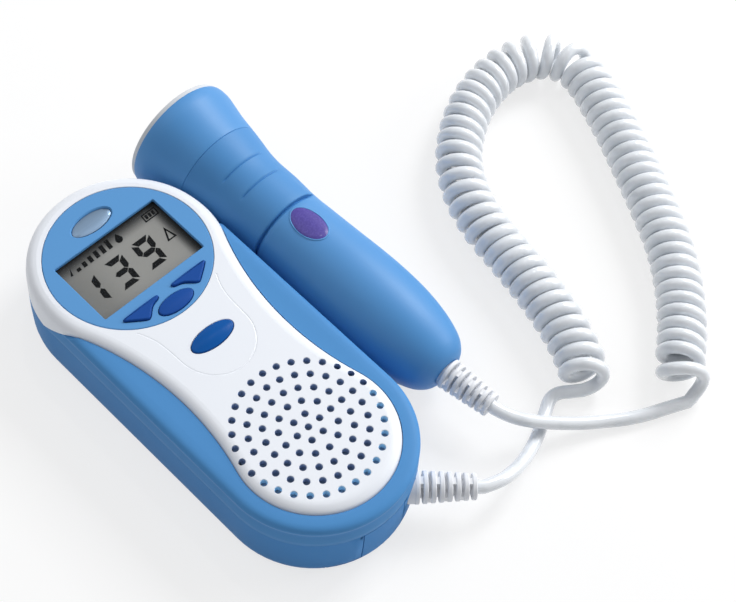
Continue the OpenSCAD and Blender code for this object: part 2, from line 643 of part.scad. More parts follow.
module probe_barrel() {
    color("#5795d6") in_probe() difference() {
        union() {
            probe_shell(barrel_profile);
            translate([0, 0, 0]) cylinder(r = 5.2, h = 3, $fn = fine);
            translate([0, 0, step_u - 3]) difference() {
                cylinder(r = belly_r - probe_wall - 1.35, h = 6, $fn = fine);
                translate([0, 0, -1]) cylinder(r = belly_r - probe_wall - 2.4, h = 8, $fn = fine);
            }
        }
        translate([0, 0, -1]) cylinder(r = relief_d / 2 - 0.7, h = 8, $fn = fine);
        translate([0, belly_r - 1.7, badge_u]) rotate([-90, 0, 0]) linear_extrude(4) polygon(ellipse(badge_b + 0.1, badge_a + 0.1));
    }
}
module probe_grip() {
    color("#5795d6") in_probe() difference() {
        probe_shell(grip_profile);
        grip_groove(75.3, belly_r - 0.95);
        grip_groove(82.9, belly_r - 0.6);
    }
}
module probe_head() {
    color("#5b9ad8") in_probe() difference() {
        probe_shell(head_profile);
        translate([0, 0, face_u - 2.4]) cylinder(r = face_r + 0.05, h = 4, $fn = fine);
    }
}

face_r = 16;
badge_a = 6.8;
badge_b = 4.3;
badge_u = 55.5;

module transducer_face() {
    color("#c3c7cb") in_probe() rotate_extrude($fn = fine) polygon([[0, face_u - 2.3], [face_r, face_u - 2.3],
        [face_r, face_u - 0.1], [face_r - 0.6, face_u + 0.25], [9, face_u + 0.5], [0, face_u + 0.6]]);
}
module crystal_pair() {
    color("#d8d2c0") in_probe() difference() {
        translate([0, 0, face_u - 3.6]) cylinder(r = 12, h = 1.2, $fn = fine);
        translate([-13, -0.5, face_u - 4]) cube([26, 1, 2]);
    }
}
module crystal_backing() {
    color("#5c6066") in_probe() translate([0, 0, face_u - 7.7]) cylinder(r = head_r - probe_wall - 0.9, h = 4, $fn = fine);
}
module probe_board() {
    half_w = belly_r - 1.3 - probe_wall - 0.5;
    color("#2f7d4f") in_probe() union() {
        translate([-half_w + 1, -0.6, 24]) cube([2 * half_w - 2, 1.2, face_u - 7.8 - 24]);
        translate([-6, 0.6, 40]) cube([12, 2, 9]);
        translate([-4, 0.6, 56]) cube([8, 1.6, 6]);
        translate([0, 0.6, 72]) rotate([-90, 0, 0]) cylinder(r = 3, h = 4, $fn = 48);
    }
}
module probe_badge() {
    color("#5a3f9e") in_probe() intersection() {
        translate([0, belly_r - 1.7, badge_u]) rotate([-90, 0, 0]) linear_extrude(4) polygon(ellipse(badge_b, badge_a));
        rotate_extrude($fn = fine) polygon([[2, badge_u - 10], [belly_r - 0.65, badge_u - 10], [belly_r - 1.05, badge_u + 7.4], [2, badge_u + 7.4]]);
    }
}
module probe_strain_relief() {
    color("#e4e6ea") in_probe() union() {
        rotate([180, relief_lean, 0]) translate([0, 0, relief_lift]) relief(probe_relief_l);
        translate([0, 0, -relief_lift - 0.5]) cylinder(r = relief_d / 2 - 0.8, h = relief_lift + 3.5, $fn = 48);
    }
}

// The probe's strain relief leans towards the coil, where its cord pulls.
relief_lean = 5.5;
relief_lift = 0.45;
probe_relief_l = relief_l - 1.5;
lean_dir = [sin(relief_lean + probe_yaw) * cos(tilt), -cos(relief_lean + probe_yaw) * cos(tilt), -sin(tilt)];

// ---- Cord ----------------------------------------------------------------

// Points of a smooth curve through the given ones, steps to each stretch.
function spline_point(p, i, t) = let (n = len(p) - 1,
        a = p[max(i - 1, 0)], b = p[i], c = p[min(i + 1, n)], d = p[min(i + 2, n)])
    0.5 * (2 * b + (c - a) * t + (2 * a - 5 * b + 4 * c - d) * t * t + (3 * b - a - 3 * c + d) * t * t * t);
function spline(p, steps) = concat(
    [for (i = [0 : len(p) - 2]) for (k = [0 : steps - 1]) spline_point(p, i, k / steps)], [p[len(p) - 1]]);

function unit(v) = v / norm(v);
function tangents(p) = let (n = len(p) - 1) [for (i = [0 : n]) unit(p[min(i + 1, n)] - p[max(i - 1, 0)])];

// A tube swept along points. Its rings turn as little as they can.
function carried(t, n0) = [for (i = 0, n = unit(n0 - (n0 * t[0]) * t[0]); i < len(t);
    i = i + 1, n = i < len(t) ? unit(n - (n * t[i]) * t[i]) : n) n];
module tube(points, first, last, r, sides, up = [0, 0, 1]) {
    t0 = tangents(points);
    n = len(points);
    t = [for (i = [0 : n - 1]) i == 0 ? unit(first) : i == n - 1 ? unit(last) : t0[i]];
    normals = carried(t, up);
    loft([for (i = [0 : n - 1]) [for (k = [0 : sides - 1]) let (a = -360 * (k + 0.5) / sides)
        points[i] + r * (cos(a) * normals[i] + sin(a) * cross(t[i], normals[i]))]]);
}

lay_z = curl_r + 2;       // height of the coil's middle above the surface
cord_z = lay_z - curl_r;  // height of a lead that lies on the surface

// Middle line of the coil, from the monitor's end to the probe's end.
coil_points = [[75.5, -71], [79.5, -65], [84, -54.5], [88, -40], [90.5, -27], [92.5, -15.5], [96, -5], [102, 5],
    [110, 12.5], [120, 18.5], [131, 22], [142, 22.5], [152, 19], [157.5, 11], [156.5, 1.5], [153, -8], [148, -19.5],
    [141.5, -32.5], [135, -45], [128, -57], [119.5, -68], [109.5, -78], [98.5, -87], [95, -94]];
coil_line = spline(coil_points, 16);
line_n = len(coil_line);
line_t = tangents([for (p = coil_line) [p[0], p[1], 0]]);
line_s = [for (i = 0, s = 0; i < line_n; i = i + 1, s = i < line_n ? s + norm(coil_line[i] - coil_line[i - 1]) : s) s];

// The curls stand closer on the straights, and wide enough in a bend to
// stay apart on its inner side. The pitch grows towards the monitor's end.
tight_pitch = 4.1;
loose_pitch = 4.4;
function bend(i) = i == 0 || i == line_n - 1 ? 0 :
    norm(line_t[i + 1] - line_t[i - 1]) / (line_s[i + 1] - line_s[i - 1]);
pulled_l = 8;             // the probe pulls the last curls apart over this length
function pulled(i) = 1 + 1.2 * max(0, 1 - (line_s[line_n - 1] - line_s[i]) / pulled_l);
function pitch_at(i) = pulled(i) * mix(loose_pitch, tight_pitch, min(1, line_s[i] / 120)) / max(0.3, 1 - curl_r * bend(i));
turn_sum = [for (i = 0, w = 0; i < line_n; i = i + 1,
    w = i < line_n ? w + (line_s[i] - line_s[i - 1]) / pitch_at(i) : w) w];
turn_scale = curls / turn_sum[line_n - 1];
x_table = [for (i = [0 : line_n - 1]) [turn_sum[i] * turn_scale, coil_line[i][0]]];
y_table = [for (i = [0 : line_n - 1]) [turn_sum[i] * turn_scale, coil_line[i][1]]];
tx_table = [for (i = [0 : line_n - 1]) [turn_sum[i] * turn_scale, line_t[i][0]]];
ty_table = [for (i = [0 : line_n - 1]) [turn_sum[i] * turn_scale, line_t[i][1]]];

// A left-handed helix round the middle line, from its bottom to its bottom.
rings_per_curl = 8;
function curl_point(w) = let (c = [lookup(w, x_table), lookup(w, y_table), lay_z],
        d = unit([lookup(w, tx_table), lookup(w, ty_table), 0]), side = [d[1], -d[0], 0], a = -90 + 360 * w)
    c + curl_r * (cos(a) * side + [0, 0, sin(a)]);
helix = [for (k = [0 : curls * rings_per_curl]) curl_point(k / rings_per_curl)];
start_dir = [line_t[0][1], -line_t[0][0], 0];
end_dir = [line_t[line_n - 1][1], -line_t[line_n - 1][0], 0];
lead_in = cord_d + 0.1;
coil_start = helix[0] - lead_in * start_dir;
coil_end = helix[len(helix) - 1] + lead_in * end_dir;
curly_points = concat([coil_start, helix[0] - 0.9 * start_dir], [for (i = [1 : len(helix) - 2]) helix[i]],
    [helix[len(helix) - 1] + 0.9 * end_dir, coil_end]);

// Least gap between one curl and the next, over the points of the helix.
curl_gap = min([for (i = [0 : len(helix) - 1]) for (k = [5 : 11]) if (i + k < len(helix)) norm(helix[i] - helix[i + k])]) - cord_d;
echo(curl_gap = curl_gap, coil_length = line_s[line_n - 1], pitch_scale = 1 / turn_scale);

// Leads: out of the relief, down to the surface and on to the coil.
heading = [cos(relief_heading), sin(relief_heading), 0];
monitor_lead_points = [relief_tip, relief_tip + lead_in * heading, [34, -76.9, 10], [38.7, -76.4, 8], [44, -75.5, 6],
    [49.6, -74, 4.2], [55, -72.3, 2.6], [60.5, -69.4, cord_z], [65.5, -66.7, cord_z], coil_start - lead_in * start_dir, coil_start];
probe_tip = [probe_x, probe_y, probe_z] + (relief_lift + probe_relief_l) * lean_dir;
probe_lead_points = [probe_tip, probe_tip + lead_in * lean_dir, [50.2, -66.5, 10.2], [53.4, -69.2, 8.6], [57.2, -71.9, 6.8],
    [61.8, -75.2, 5.2], [66.8, -78.7, 3.4], [72.3, -82.3, 2.3], [78, -85.9, cord_z], [83.5, -88.9, cord_z],
    coil_end + lead_in * end_dir, coil_end];

module monitor_lead() {
    color("#e9ebee") tube(spline(monitor_lead_points, 4), heading, start_dir, cord_r, 8);
}
module probe_lead() {
    color("#e9ebee") tube(spline(probe_lead_points, 4), lean_dir, -end_dir, cord_r, 8);
}
module curly_cord() {
    color("#e9ebee") tube(curly_points, start_dir, end_dir, cord_r, 6);
}

base_shell();
upper_shell();
front_cover();
display_bezel();
display_window();
lcd_panel();
lcd_backlight();
lcd_strips();
left_key();
centre_key();
right_key();
power_key();
logo_plate();
main_board();
key_switches();
board_parts();
speaker_cloth();
speaker_frame();
speaker_cone();
speaker_magnet();
battery_cells();
battery_contacts();
battery_door();
case_screws();
monitor_strain_relief();
probe_head();
probe_grip();
probe_barrel();
transducer_face();
crystal_pair();
crystal_backing();
probe_board();
probe_badge();
probe_strain_relief();
monitor_lead();
curly_cord();
probe_lead();
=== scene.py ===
"""Looks of a hand-held fetal doppler: a pocket monitor, its ultrasound probe and the curly cord between them.

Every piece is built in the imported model's own frame: metres, +Z up, +Y to the display end, +X to the probe.
"""

import logging
import math
from dataclasses import dataclass, field
from enum import Enum
from typing import Callable, Sequence, Union

import bmesh
import bpy
import numpy as np
from mathutils import Matrix, Vector


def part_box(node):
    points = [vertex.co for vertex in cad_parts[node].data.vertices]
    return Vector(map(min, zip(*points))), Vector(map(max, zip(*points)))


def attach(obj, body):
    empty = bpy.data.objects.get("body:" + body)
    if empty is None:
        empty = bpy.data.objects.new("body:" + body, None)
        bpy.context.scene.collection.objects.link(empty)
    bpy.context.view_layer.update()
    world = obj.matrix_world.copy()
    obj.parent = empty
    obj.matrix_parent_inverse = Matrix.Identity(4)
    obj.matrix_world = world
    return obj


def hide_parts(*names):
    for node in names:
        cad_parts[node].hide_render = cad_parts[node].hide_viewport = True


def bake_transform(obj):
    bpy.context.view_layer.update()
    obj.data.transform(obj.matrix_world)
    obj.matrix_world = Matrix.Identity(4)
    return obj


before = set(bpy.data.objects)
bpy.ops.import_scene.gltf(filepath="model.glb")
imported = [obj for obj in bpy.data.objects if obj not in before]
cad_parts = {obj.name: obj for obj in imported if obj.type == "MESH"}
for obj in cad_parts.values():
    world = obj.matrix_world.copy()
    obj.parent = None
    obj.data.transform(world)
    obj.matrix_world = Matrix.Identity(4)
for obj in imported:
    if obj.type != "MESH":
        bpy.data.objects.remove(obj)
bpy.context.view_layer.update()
LOG = logging.getLogger("doppler")
MM = 0.001

Point = tuple[float, float, float]
Flat = tuple[float, float]
Value = Union["Socket", float, str, tuple, list, None]


# ---- Node trees ----


def linear(colour: str) -> tuple[float, float, float, float]:
    """Linear colour, with full alpha, of a #rrggbb colour."""
    parts = [int(colour[i : i + 2], 16) / 255 for i in (1, 3, 5)]
    return (*[c / 12.92 if c <= 0.04045 else ((c + 0.055) / 1.055) ** 2.4 for c in parts], 1.0)


class Socket:
    """An output of a node that takes part in Python arithmetic."""

    def __init__(self, graph: "Graph", socket: bpy.types.NodeSocket) -> None:
        """Wraps one output socket.

        Args:
            graph: The tree that the socket belongs to.
            socket: The socket itself.
        """
        self.graph = graph
        self.socket = socket

    def __add__(self, other: Value) -> "Socket":
        """Sum of two values."""
        return self.graph.math("ADD", self, other)

    def __sub__(self, other: Value) -> "Socket":
        """Difference of two values."""
        return self.graph.math("SUBTRACT", self, other)

    def __rsub__(self, other: Value) -> "Socket":
        """Difference with the socket on the right."""
        return self.graph.math("SUBTRACT", other, self)

    def __mul__(self, other: Value) -> "Socket":
        """Product of two values."""
        return self.graph.math("MULTIPLY", self, other)

    def __truediv__(self, other: Value) -> "Socket":
        """Quotient of two values."""
        return self.graph.math("DIVIDE", self, other)

    def __rtruediv__(self, other: Value) -> "Socket":
        """Quotient with the socket below the line."""
        return self.graph.math("DIVIDE", other, self)

    __radd__ = __add__
    __rmul__ = __mul__

    def mix(self, low: Value, high: Value) -> "Socket":
        """Colour between low and high, with this value as the factor.

        Args:
            low: Colour at 0, as a socket or #rrggbb.
            high: Colour at 1, as a socket or #rrggbb.

        Returns:
            The mixed colour.
        """
        ends = {"A_Color": low, "B_Color": high}
        inputs = {k: linear(v) if isinstance(v, str) else v for k, v in ends.items()}
        inputs["Factor_Float"] = self
        return self.graph.node("ShaderNodeMix", {"data_type": "RGBA"}, inputs, "Result_Color")

    def between(self, low: float, high: float) -> "Socket":
        """A smooth step of this value, 0 at low and 1 at high."""
        inputs = {"Value": self, "From Min": low, "From Max": high}
        return self.graph.node("ShaderNodeMapRange", {"interpolation_type": "SMOOTHSTEP"}, inputs)


class Graph:
    """A node tree, with one method that adds any node to it."""

    def __init__(self, tree: bpy.types.NodeTree) -> None:
        """Wraps a node tree."""
        self.tree = tree

    @staticmethod
    def find(sockets: bpy.types.bpy_prop_collection, key: str | int) -> bpy.types.NodeSocket:
        """Socket with that identifier, name or place.

        Args:
            sockets: The inputs or outputs of a node.
            key: Identifier or name, or the place in the list.

        Returns:
            The socket.
        """
        if isinstance(key, int):
            return sockets[key]
        return next((s for s in sockets if s.identifier == key and s.enabled), None) or sockets[key]

    def node(
        self, kind: str, settings: dict | None = None, inputs: dict | None = None, output: str | int = 0
    ) -> Socket:
        """Adds a node.

        Args:
            kind: Type of the node.
            settings: Its properties, which are set first.
            inputs: Values or links of its sockets, by name or identifier.
            output: The output to return.

        Returns:
            That output, or the first one.
        """
        made = self.tree.nodes.new(kind)
        for name, value in (settings or {}).items():
            setattr(made, name, value)
        for name, value in (inputs or {}).items():
            if value is None:
                continue
            target = self.find(made.inputs, name)
            for one in value if isinstance(value, list) else [value]:
                if isinstance(one, Socket):
                    self.tree.links.new(one.socket, target)
                else:
                    target.default_value = one
        return Socket(self, self.find(made.outputs, output) if len(made.outputs) else None)

    def math(self, operation: str, first: Value, second: Value = None) -> Socket:
        """Adds a Math node for one operation on one or two values."""
        return self.node("ShaderNodeMath", {"operation": operation}, {"Value": first, "Value_001": second})

    def axes(self, coords: Socket) -> tuple[Socket, Socket, Socket]:
        """The three coordinates of a vector, in millimetres.

        Args:
            coords: The vector.

        Returns:
            X, Y and Z.
        """
        split = self.node("ShaderNodeSeparateXYZ", inputs={"Vector": coords}).socket.node
        x, y, z = (Socket(self, s) / MM for s in split.outputs)
        return x, y, z

    def noise(self, coords: Socket, size: float, detail: float = 3.0, stretch: Point = (1, 1, 1)) -> Socket:
        """Noise from 0 to 1 over an object.

        Args:
            coords: Object coordinates.
            size: Size of its largest grains, in millimetres.
            detail: Octaves of finer grain.
            stretch: Factor along each axis, below 1 for long grains.

        Returns:
            The noise.
        """
        placed = self.node("ShaderNodeMapping", inputs={"Vector": coords, "Scale": stretch})
        inputs = {"Vector": placed, "Scale": 1 / (size * MM), "Detail": detail}
        return self.node("ShaderNodeTexNoise", inputs=inputs)

    def bump(self, height: Socket, depth: float) -> Socket:
        """Normal of a height from 0 to 1 that is depth millimetres deep."""
        return self.node("ShaderNodeBump", inputs={"Height": height, "Distance": depth * MM, "Strength": 1.0})


# ---- Finishes ----


@dataclass(frozen=True)
class Finish:
    """The finish of a surface: its colour, gloss and texture."""

    name: str
    slot: str
    colour: str
    roughness: float = 0.4
    coat: float = 0.0
    shine: float = 0.3
    coat_roughness: float = 0.12

    def surface(self, graph: Graph, coords: Socket) -> dict[str, Value]:
        """Inputs of the shader for this finish.

        Args:
            graph: The material's tree.
            coords: Object coordinates.

        Returns:
            Values and links by the shader's input.
        """
        return {"Base Color": linear(self.colour), "Roughness": self.roughness}

    def material(self) -> bpy.types.Material:
        """The Blender material, which is made once.

        Returns:
            The material.
        """
        found = bpy.data.materials.get("finish_" + self.name)
        if found:
            return found
        made = bpy.data.materials.new("finish_" + self.name)
        made.use_nodes = True
        made.node_tree.nodes.clear()
        graph = Graph(made.node_tree)
        coords = graph.node("ShaderNodeTexCoord", output="Object")
        inputs = {"Specular IOR Level": self.shine, "Coat Weight": self.coat}
        inputs |= {"Coat Roughness": self.coat_roughness, **self.surface(graph, coords)}
        shader = graph.node("ShaderNodeBsdfPrincipled", inputs=inputs)
        graph.node("ShaderNodeOutputMaterial", inputs={"Surface": shader})
        return made


@dataclass(frozen=True)
class Moulded(Finish):
    """Moulded plastic with the fine grain of its tool."""

    deep: str = "#000000"
    drift: float = 0.3
    grain: float = 0.35
    grain_depth: float = 0.004

    def surface(self, graph: Graph, coords: Socket) -> dict[str, Value]:
        """Colour that drifts a little, and a grain that breaks up the gloss.

        Args:
            graph: The material's tree.
            coords: Object coordinates.

        Returns:
            The shader's inputs.
        """
        cloud = graph.noise(coords, 16.0, 4.0)
        speck = graph.noise(coords, self.grain, 2.0)
        blend = (cloud - 0.5) * self.drift + (speck - 0.5) * (self.drift * 0.5) + 0.2
        return {
            "Base Color": blend.mix(self.colour, self.deep),
            "Roughness": self.roughness + (speck - 0.5) * 0.12 + (cloud - 0.5) * 0.08,
            "Normal": graph.bump(speck, self.grain_depth),
        }


@dataclass(frozen=True)
class Perforated(Moulded):
    """Moulded plastic with painted shade on the walls of its narrow bores, and painted light in the lit ones.
    """

    # Painted shade: colour of a bore wall that lies in shadow.
    bore: str = "#93a8cb"
    # Painted light: colour of a bore wall that light falls into.
    lit_bore: str = "#bae3fe"

    def surface(self, graph: Graph, coords: Socket) -> dict[str, Value]:
        """The moulded surface, with painted shade where the mesh marks a bore with 1 and painted light where
        it marks it with 2.

        Args:
            graph: The material's tree.
            coords: Object coordinates.

        Returns:
            The shader's inputs.
        """
        inputs = super().surface(graph, coords)
        bore = graph.node("ShaderNodeAttribute", {"attribute_name": "bore"}, output="Fac")
        # Painted shade in the bores first, then painted light in the lit ones.
        dark = bore.between(0.4, 0.6).mix(inputs["Base Color"], self.bore)
        return {**inputs, "Base Color": bore.between(1.4, 1.6).mix(dark, self.lit_bore)}


@dataclass(frozen=True)
class Jacket(Finish):
    """Smooth cord jacket, a little wavy and handled."""

    deep: str = "#b9c0c8"

    def surface(self, graph: Graph, coords: Socket) -> dict[str, Value]:
        """Faint greying in patches and a soft waviness in the gloss.

        Args:
            graph: The material's tree.
            coords: Object coordinates.

        Returns:
            The shader's inputs.
        """
        handled = graph.noise(coords, 7.0, 4.0)
        wave = graph.noise(coords, 1.6, 2.0)
        return {
            "Base Color": (handled.between(0.45, 0.85) * 0.5).mix(self.colour, self.deep),
            "Roughness": self.roughness + (handled - 0.5) * 0.15,
            "Normal": graph.bump(wave, 0.02),
        }


@dataclass(frozen=True)
class Metal(Finish):
    """Brushed or plated metal."""

    deep: str = "#6d7277"
    brush: Point = (0.04, 1.0, 1.0)

    def surface(self, graph: Graph, coords: Socket) -> dict[str, Value]:
        """Long fine scratches along one axis.

        Args:
            graph: The material's tree.
            coords: Object coordinates.

        Returns:
            The shader's inputs.
        """
        lines = graph.noise(coords, 0.25, 3.0, self.brush)
        cloud = graph.noise(coords, 5.0)
        return {
            "Base Color": (lines * 0.5 + cloud * 0.3).mix(self.colour, self.deep),
            "Metallic": 0.9,
            "Roughness": self.roughness + (lines - 0.5) * 0.2,
            "Normal": graph.bump(lines, 0.004),
        }


@dataclass(frozen=True)
class Inlay(Finish):
    """Thick glossy print with a fleck in it."""

    deep: str = "#4b4092"

    def surface(self, graph: Graph, coords: Socket) -> dict[str, Value]:
        """Small flecks under a clear coat.

        Args:
            graph: The material's tree.
            coords: Object coordinates.

        Returns:
            The shader's inputs.
        """
        fleck = graph.noise(coords, 0.55, 3.0)
        return {
            "Base Color": fleck.between(0.35, 0.7).mix(self.deep, self.colour),
            "Roughness": self.roughness + (fleck - 0.5) * 0.2,
            "Normal": graph.bump(fleck, 0.012),
        }


@dataclass(frozen=True)
class Weave(Finish):
    """Fine woven dust cloth."""

    deep: str = "#1d2a3c"
    pitch: float = 0.42

    def surface(self, graph: Graph, coords: Socket) -> dict[str, Value]:
        """Crossing threads from two waves.

        Args:
            graph: The material's tree.
            coords: Object coordinates.

        Returns:
            The shader's inputs.
        """
        x, y, _ = graph.axes(coords)
        turn = math.tau / self.pitch
        warp = graph.math("SINE", x * turn)
        weft = graph.math("SINE", y * turn)
        thread = warp * weft * 0.5 + 0.5
        uneven = graph.noise(coords, 2.0)
        return {
            "Base Color": (thread * 0.7 + uneven * 0.3).mix(self.deep, self.colour),
            "Roughness": self.roughness + (uneven - 0.5) * 0.1,
            "Normal": graph.bump(thread, 0.05),
        }


@dataclass(frozen=True)
class Circuit(Finish):
    """Solder mask with copper tracks and tinned pads."""

    deep: str = "#17532c"
    pad: str = "#c9b26a"
    pitch: float = 2.6

    def surface(self, graph: Graph, coords: Socket) -> dict[str, Value]:
        """Tracks where a cell pattern borders, pads where its cells are centred.

        Args:
            graph: The material's tree.
            coords: Object coordinates.

        Returns:
            The shader's inputs.
        """
        pattern = {"Vector": coords, "Scale": 1 / (self.pitch * MM), "Randomness": 0.35}
        cell = graph.node("ShaderNodeTexVoronoi", {"distance": "MANHATTAN"}, pattern, "Distance")
        track = cell.between(0.62, 0.66)
        pad = 1 - cell.between(0.12, 0.15)
        green = track.mix(self.colour, self.deep)
        return {
            "Base Color": pad.mix(green, self.pad),
            "Metallic": pad * 0.8,
            "Roughness": self.roughness - pad * 0.15,
            "Normal": graph.bump(track, 0.02),
        }


@dataclass(frozen=True)
class CellWrap(Finish):
    """Bare two-tone jacket of a cell, dark near its contact end."""

    deep: str = "#23262b"
    worn: str = "#8a6a2c"
    from_y: float = 0.0
    to_y: float = 0.0

    def surface(self, graph: Graph, coords: Socket) -> dict[str, Value]:
        """A dark band along the last third, with the foil's fine scratches.

        Args:
            graph: The material's tree.
            coords: Object coordinates.

        Returns:
            The shader's inputs.
        """
        _, y, _ = graph.axes(coords)
        share = (y - self.from_y) / (self.to_y - self.from_y)
        foil = graph.noise(coords, 0.3, 3.0, (1.0, 0.08, 1.0))
        tone = (foil * 0.25).mix(self.colour, self.worn)
        return {
            "Base Color": share.between(0.66, 0.67).mix(tone, self.deep),
            "Metallic": 0.6,
            "Roughness": self.roughness + (foil - 0.5) * 0.15,
        }


@dataclass(frozen=True)
class CrystalGlass(Finish):
    """The display's grey glass, with painted shade along the top and right edges, where its frame shades it.
    """

    olive: str = "#7d7d7a"
    # Colour of the painted shade along the frame's edges.
    dark: str = "#2e2e2e"
    left: float = -18.0
    right: float = 18.0
    top: float = 48.0
    fade: float = 17.0
    # Widths of the painted shade bands, in millimetres.
    shade_top: float = 5.0
    shade_right: float = 4.2

    def surface(self, graph: Graph, coords: Socket) -> dict[str, Value]:
        """Darker and a little warmer to the left, with a soft band of painted shade at the top and the right.

        Args:
            graph: The material's tree.
            coords: Object coordinates.

        Returns:
            The shader's inputs.
        """
        x, y, _ = graph.axes(coords)
        grain = graph.noise(coords, 0.5, 3.0)
        side = x.between(self.left, self.left + self.fade)
        tone = (side * 0.9 + grain * 0.1).mix(self.olive, self.colour)
        # Painted shade: soft dark bands where the frame shades the glass.
        upper = y.between(self.top - self.shade_top, self.top)
        edge = x.between(self.right - self.shade_right, self.right)
        shade = graph.math("MAXIMUM", upper, edge) * 0.95
        return {
            "Base Color": shade.mix(tone, self.dark),
            "Roughness": self.roughness + (grain - 0.5) * 0.1,
            "Normal": graph.bump(grain, 0.002),
        }


@dataclass(frozen=True)
class Clear(Finish):
    """Clear acrylic, which only adds a little gloss and haze."""

    alpha: float = 0.035
    wiped: str = "#4d565e"

    def surface(self, graph: Graph, coords: Socket) -> dict[str, Value]:
        """Almost see-through, with faint wiping marks.

        Args:
            graph: The material's tree.
            coords: Object coordinates.

        Returns:
            The shader's inputs.
        """
        wipe = graph.noise(coords, 6.0, 4.0, (1.0, 0.3, 1.0))
        return {
            "Base Color": wipe.mix(self.colour, self.wiped),
            "Roughness": self.roughness + wipe * 0.05,
            "Alpha": self.alpha + (wipe - 0.5) * 0.04,
        }


CASE_BLUE = Moulded("case_blue", "blue_case", "#4a89c6", 0.5, shine=0.06, deep="#407db9")
SHELL_BLUE = Moulded("shell_blue", "blue_shell", "#508ec8", 0.46, shine=0.12, deep="#4683bd")
PROBE_BLUE = Moulded("probe_blue", "blue_shell", "#4a8cc8", 0.48, shine=0.42, deep="#3e7fbd")
GRIP_BLUE = Moulded("grip_blue", "blue_grip", "#4787c2", 0.52, shine=0.34, deep="#3c7ab6")
COVER_WHITE = Perforated("cover_white", "white_cover", "#e9edf4", 0.38, shine=0.35, deep="#dfe4ed", drift=0.2)
SKY_BLUE = Moulded("sky_blue", "sky_bezel", "#5a96ce", 0.48, shine=0.2, deep="#4f8bc5", drift=0.25)
KEY_BLUE = Moulded(
    "key_blue", "royal_keys", "#1d4d9b", 0.4, shine=0.08, deep="#174289", grain_depth=0.002
)
POWER_BLUE = Moulded(
    "power_blue", "royal_keys", "#0f549f", 0.3, shine=0.09, deep="#0c498c", grain_depth=0.002
)
GLASS = CrystalGlass("crystal_glass", "lcd_glass", "#999996", 0.6, shine=0.1)
INK = Moulded("crystal_ink", "dark_plastic", "#0b0b0b", 0.6, shine=0.05, deep="#161616")
WINDOW = Clear("window", "clear_window", "#39424a", 0.08, shine=0.15)
PLATE = Metal("plate", "silver_plate", "#74899f", 0.4, deep="#5d7086")
CLOTH = Weave("cloth", "speaker_cloth", "#93a6c0", 0.85, shine=0.1, deep="#6d8099")
CORD_WHITE = Jacket("cord_white", "white_cord", "#e2e6eb", 0.18, 0.5, shine=0.5)
RELIEF_WHITE = Moulded("relief_white", "white_relief", "#e8eaee", 0.5, deep="#d8dbe1", grain=0.5)
FACE_GREY = Moulded("face_grey", "grey_face", "#cdd1d6", 0.4, deep="#bfc3c9")
BADGE = Inlay("badge", "purple_badge", "#564b9f", 0.32, 0.1, shine=0.2)
SCREW_STEEL = Metal("screw_steel", "screw_steel", "#a5a9ae", 0.35, brush=(1.0, 0.1, 1.0))
CONTACT = Metal("contact", "contact_metal", "#c2c4c6", 0.3)
MAGNET = Metal("magnet", "magnet_steel", "#9a9ea3", 0.38)
BASKET = Moulded("basket", "speaker_frame", "#3a3e44", 0.45, deep="#2c2f34")
CONE = Moulded("cone", "speaker_cone", "#26282c", 0.5, deep="#1d1f22", grain=0.8)
DARK = Moulded("dark", "dark_plastic", "#2a2d31", 0.5, deep="#202225")
RUBBER = Moulded("rubber", "contact_rubber", "#2d2e31", 0.75, deep="#222326", grain=0.8)
GUIDE = Moulded("guide", "light_guide", "#e6eaee", 0.3, deep="#d8dde3")
BOARD = Circuit("board", "circuit_board", "#1f7a44", 0.4)
CERAMIC = Moulded("ceramic", "ceramic_crystal", "#d6cfb8", 0.5, deep="#c4bca2", grain=0.6)


# ---- Meshes ----


class Cut(Enum):
    """What a second solid does to the first."""

    REMOVE = "DIFFERENCE"
    ADD = "UNION"
    KEEP = "INTERSECT"


def spline(points: Sequence[Sequence[float]], steps: int) -> np.ndarray:
    """Smooth curve through points, the same as in the part's source.

    Args:
        points: Points that the curve passes.
        steps: Stretches from each point to the next.

    Returns:
        One row for each point of the curve.
    """
    p = np.array(points, float)
    p = np.vstack([p[:1], p, p[-1:]])
    rows = []
    for i in range(1, len(p) - 2):
        a, b, c, d = p[i - 1 : i + 3]
        for t in np.arange(steps) / steps:
            cubic = (2 * a - 5 * b + 4 * c - d) * t * t + (3 * b - a - 3 * c + d) * t**3
            rows.append(0.5 * (2 * b + (c - a) * t + cubic))
    return np.array(rows + [p[-1]])


def arc(centre: Flat, radius: float, start: float, end: float, steps: int) -> list[Flat]:
    """Points of an arc without its last one, with angles in degrees."""
    turns = [math.radians(start + (end - start) * i / steps) for i in range(steps)]
    return [(centre[0] + radius * math.cos(a), centre[1] + radius * math.sin(a)) for a in turns]


def ellipse(centre: Flat, a: float, b: float, steps: int = 72) -> list[Flat]:
    """Points of an ellipse, anticlockwise."""
    return [(centre[0] + a * x, centre[1] + b * y) for x, y in arc((0, 0), 1, 0, 360, steps)]


def rounded(outline: Sequence[Flat], passes: int = 3) -> list[Flat]:
    """An outline with its corners cut again and again until they are round.

    Args:
        outline: The outline.
        passes: How often.

    Returns:
        The round outline.
    """
    p = np.array(outline, float)
    for _ in range(passes):
        q = np.roll(p, -1, axis=0)
        p = np.stack([0.75 * p + 0.25 * q, 0.25 * p + 0.75 * q], axis=1).reshape(-1, 2)
    return [tuple(row) for row in p]


def grown(outline: Sequence[Flat], by: float) -> list[Flat]:
    """An anticlockwise outline moved outwards along its normals, in millimetres.

    Args:
        outline: The outline.
        by: How far, below 0 for inwards.

    Returns:
        The moved outline.
    """
    p = np.array(outline, float)
    along = np.roll(p, -1, axis=0) - np.roll(p, 1, axis=0)
    along /= np.linalg.norm(along, axis=1)[:, None]
    return [tuple(row) for row in p + by * np.stack([along[:, 1], -along[:, 0]], axis=1)]


def level(outline: Sequence[Flat], z: float) -> list[Point]:
    """An outline laid at a height."""
    return [(x, y, z) for x, y in outline]


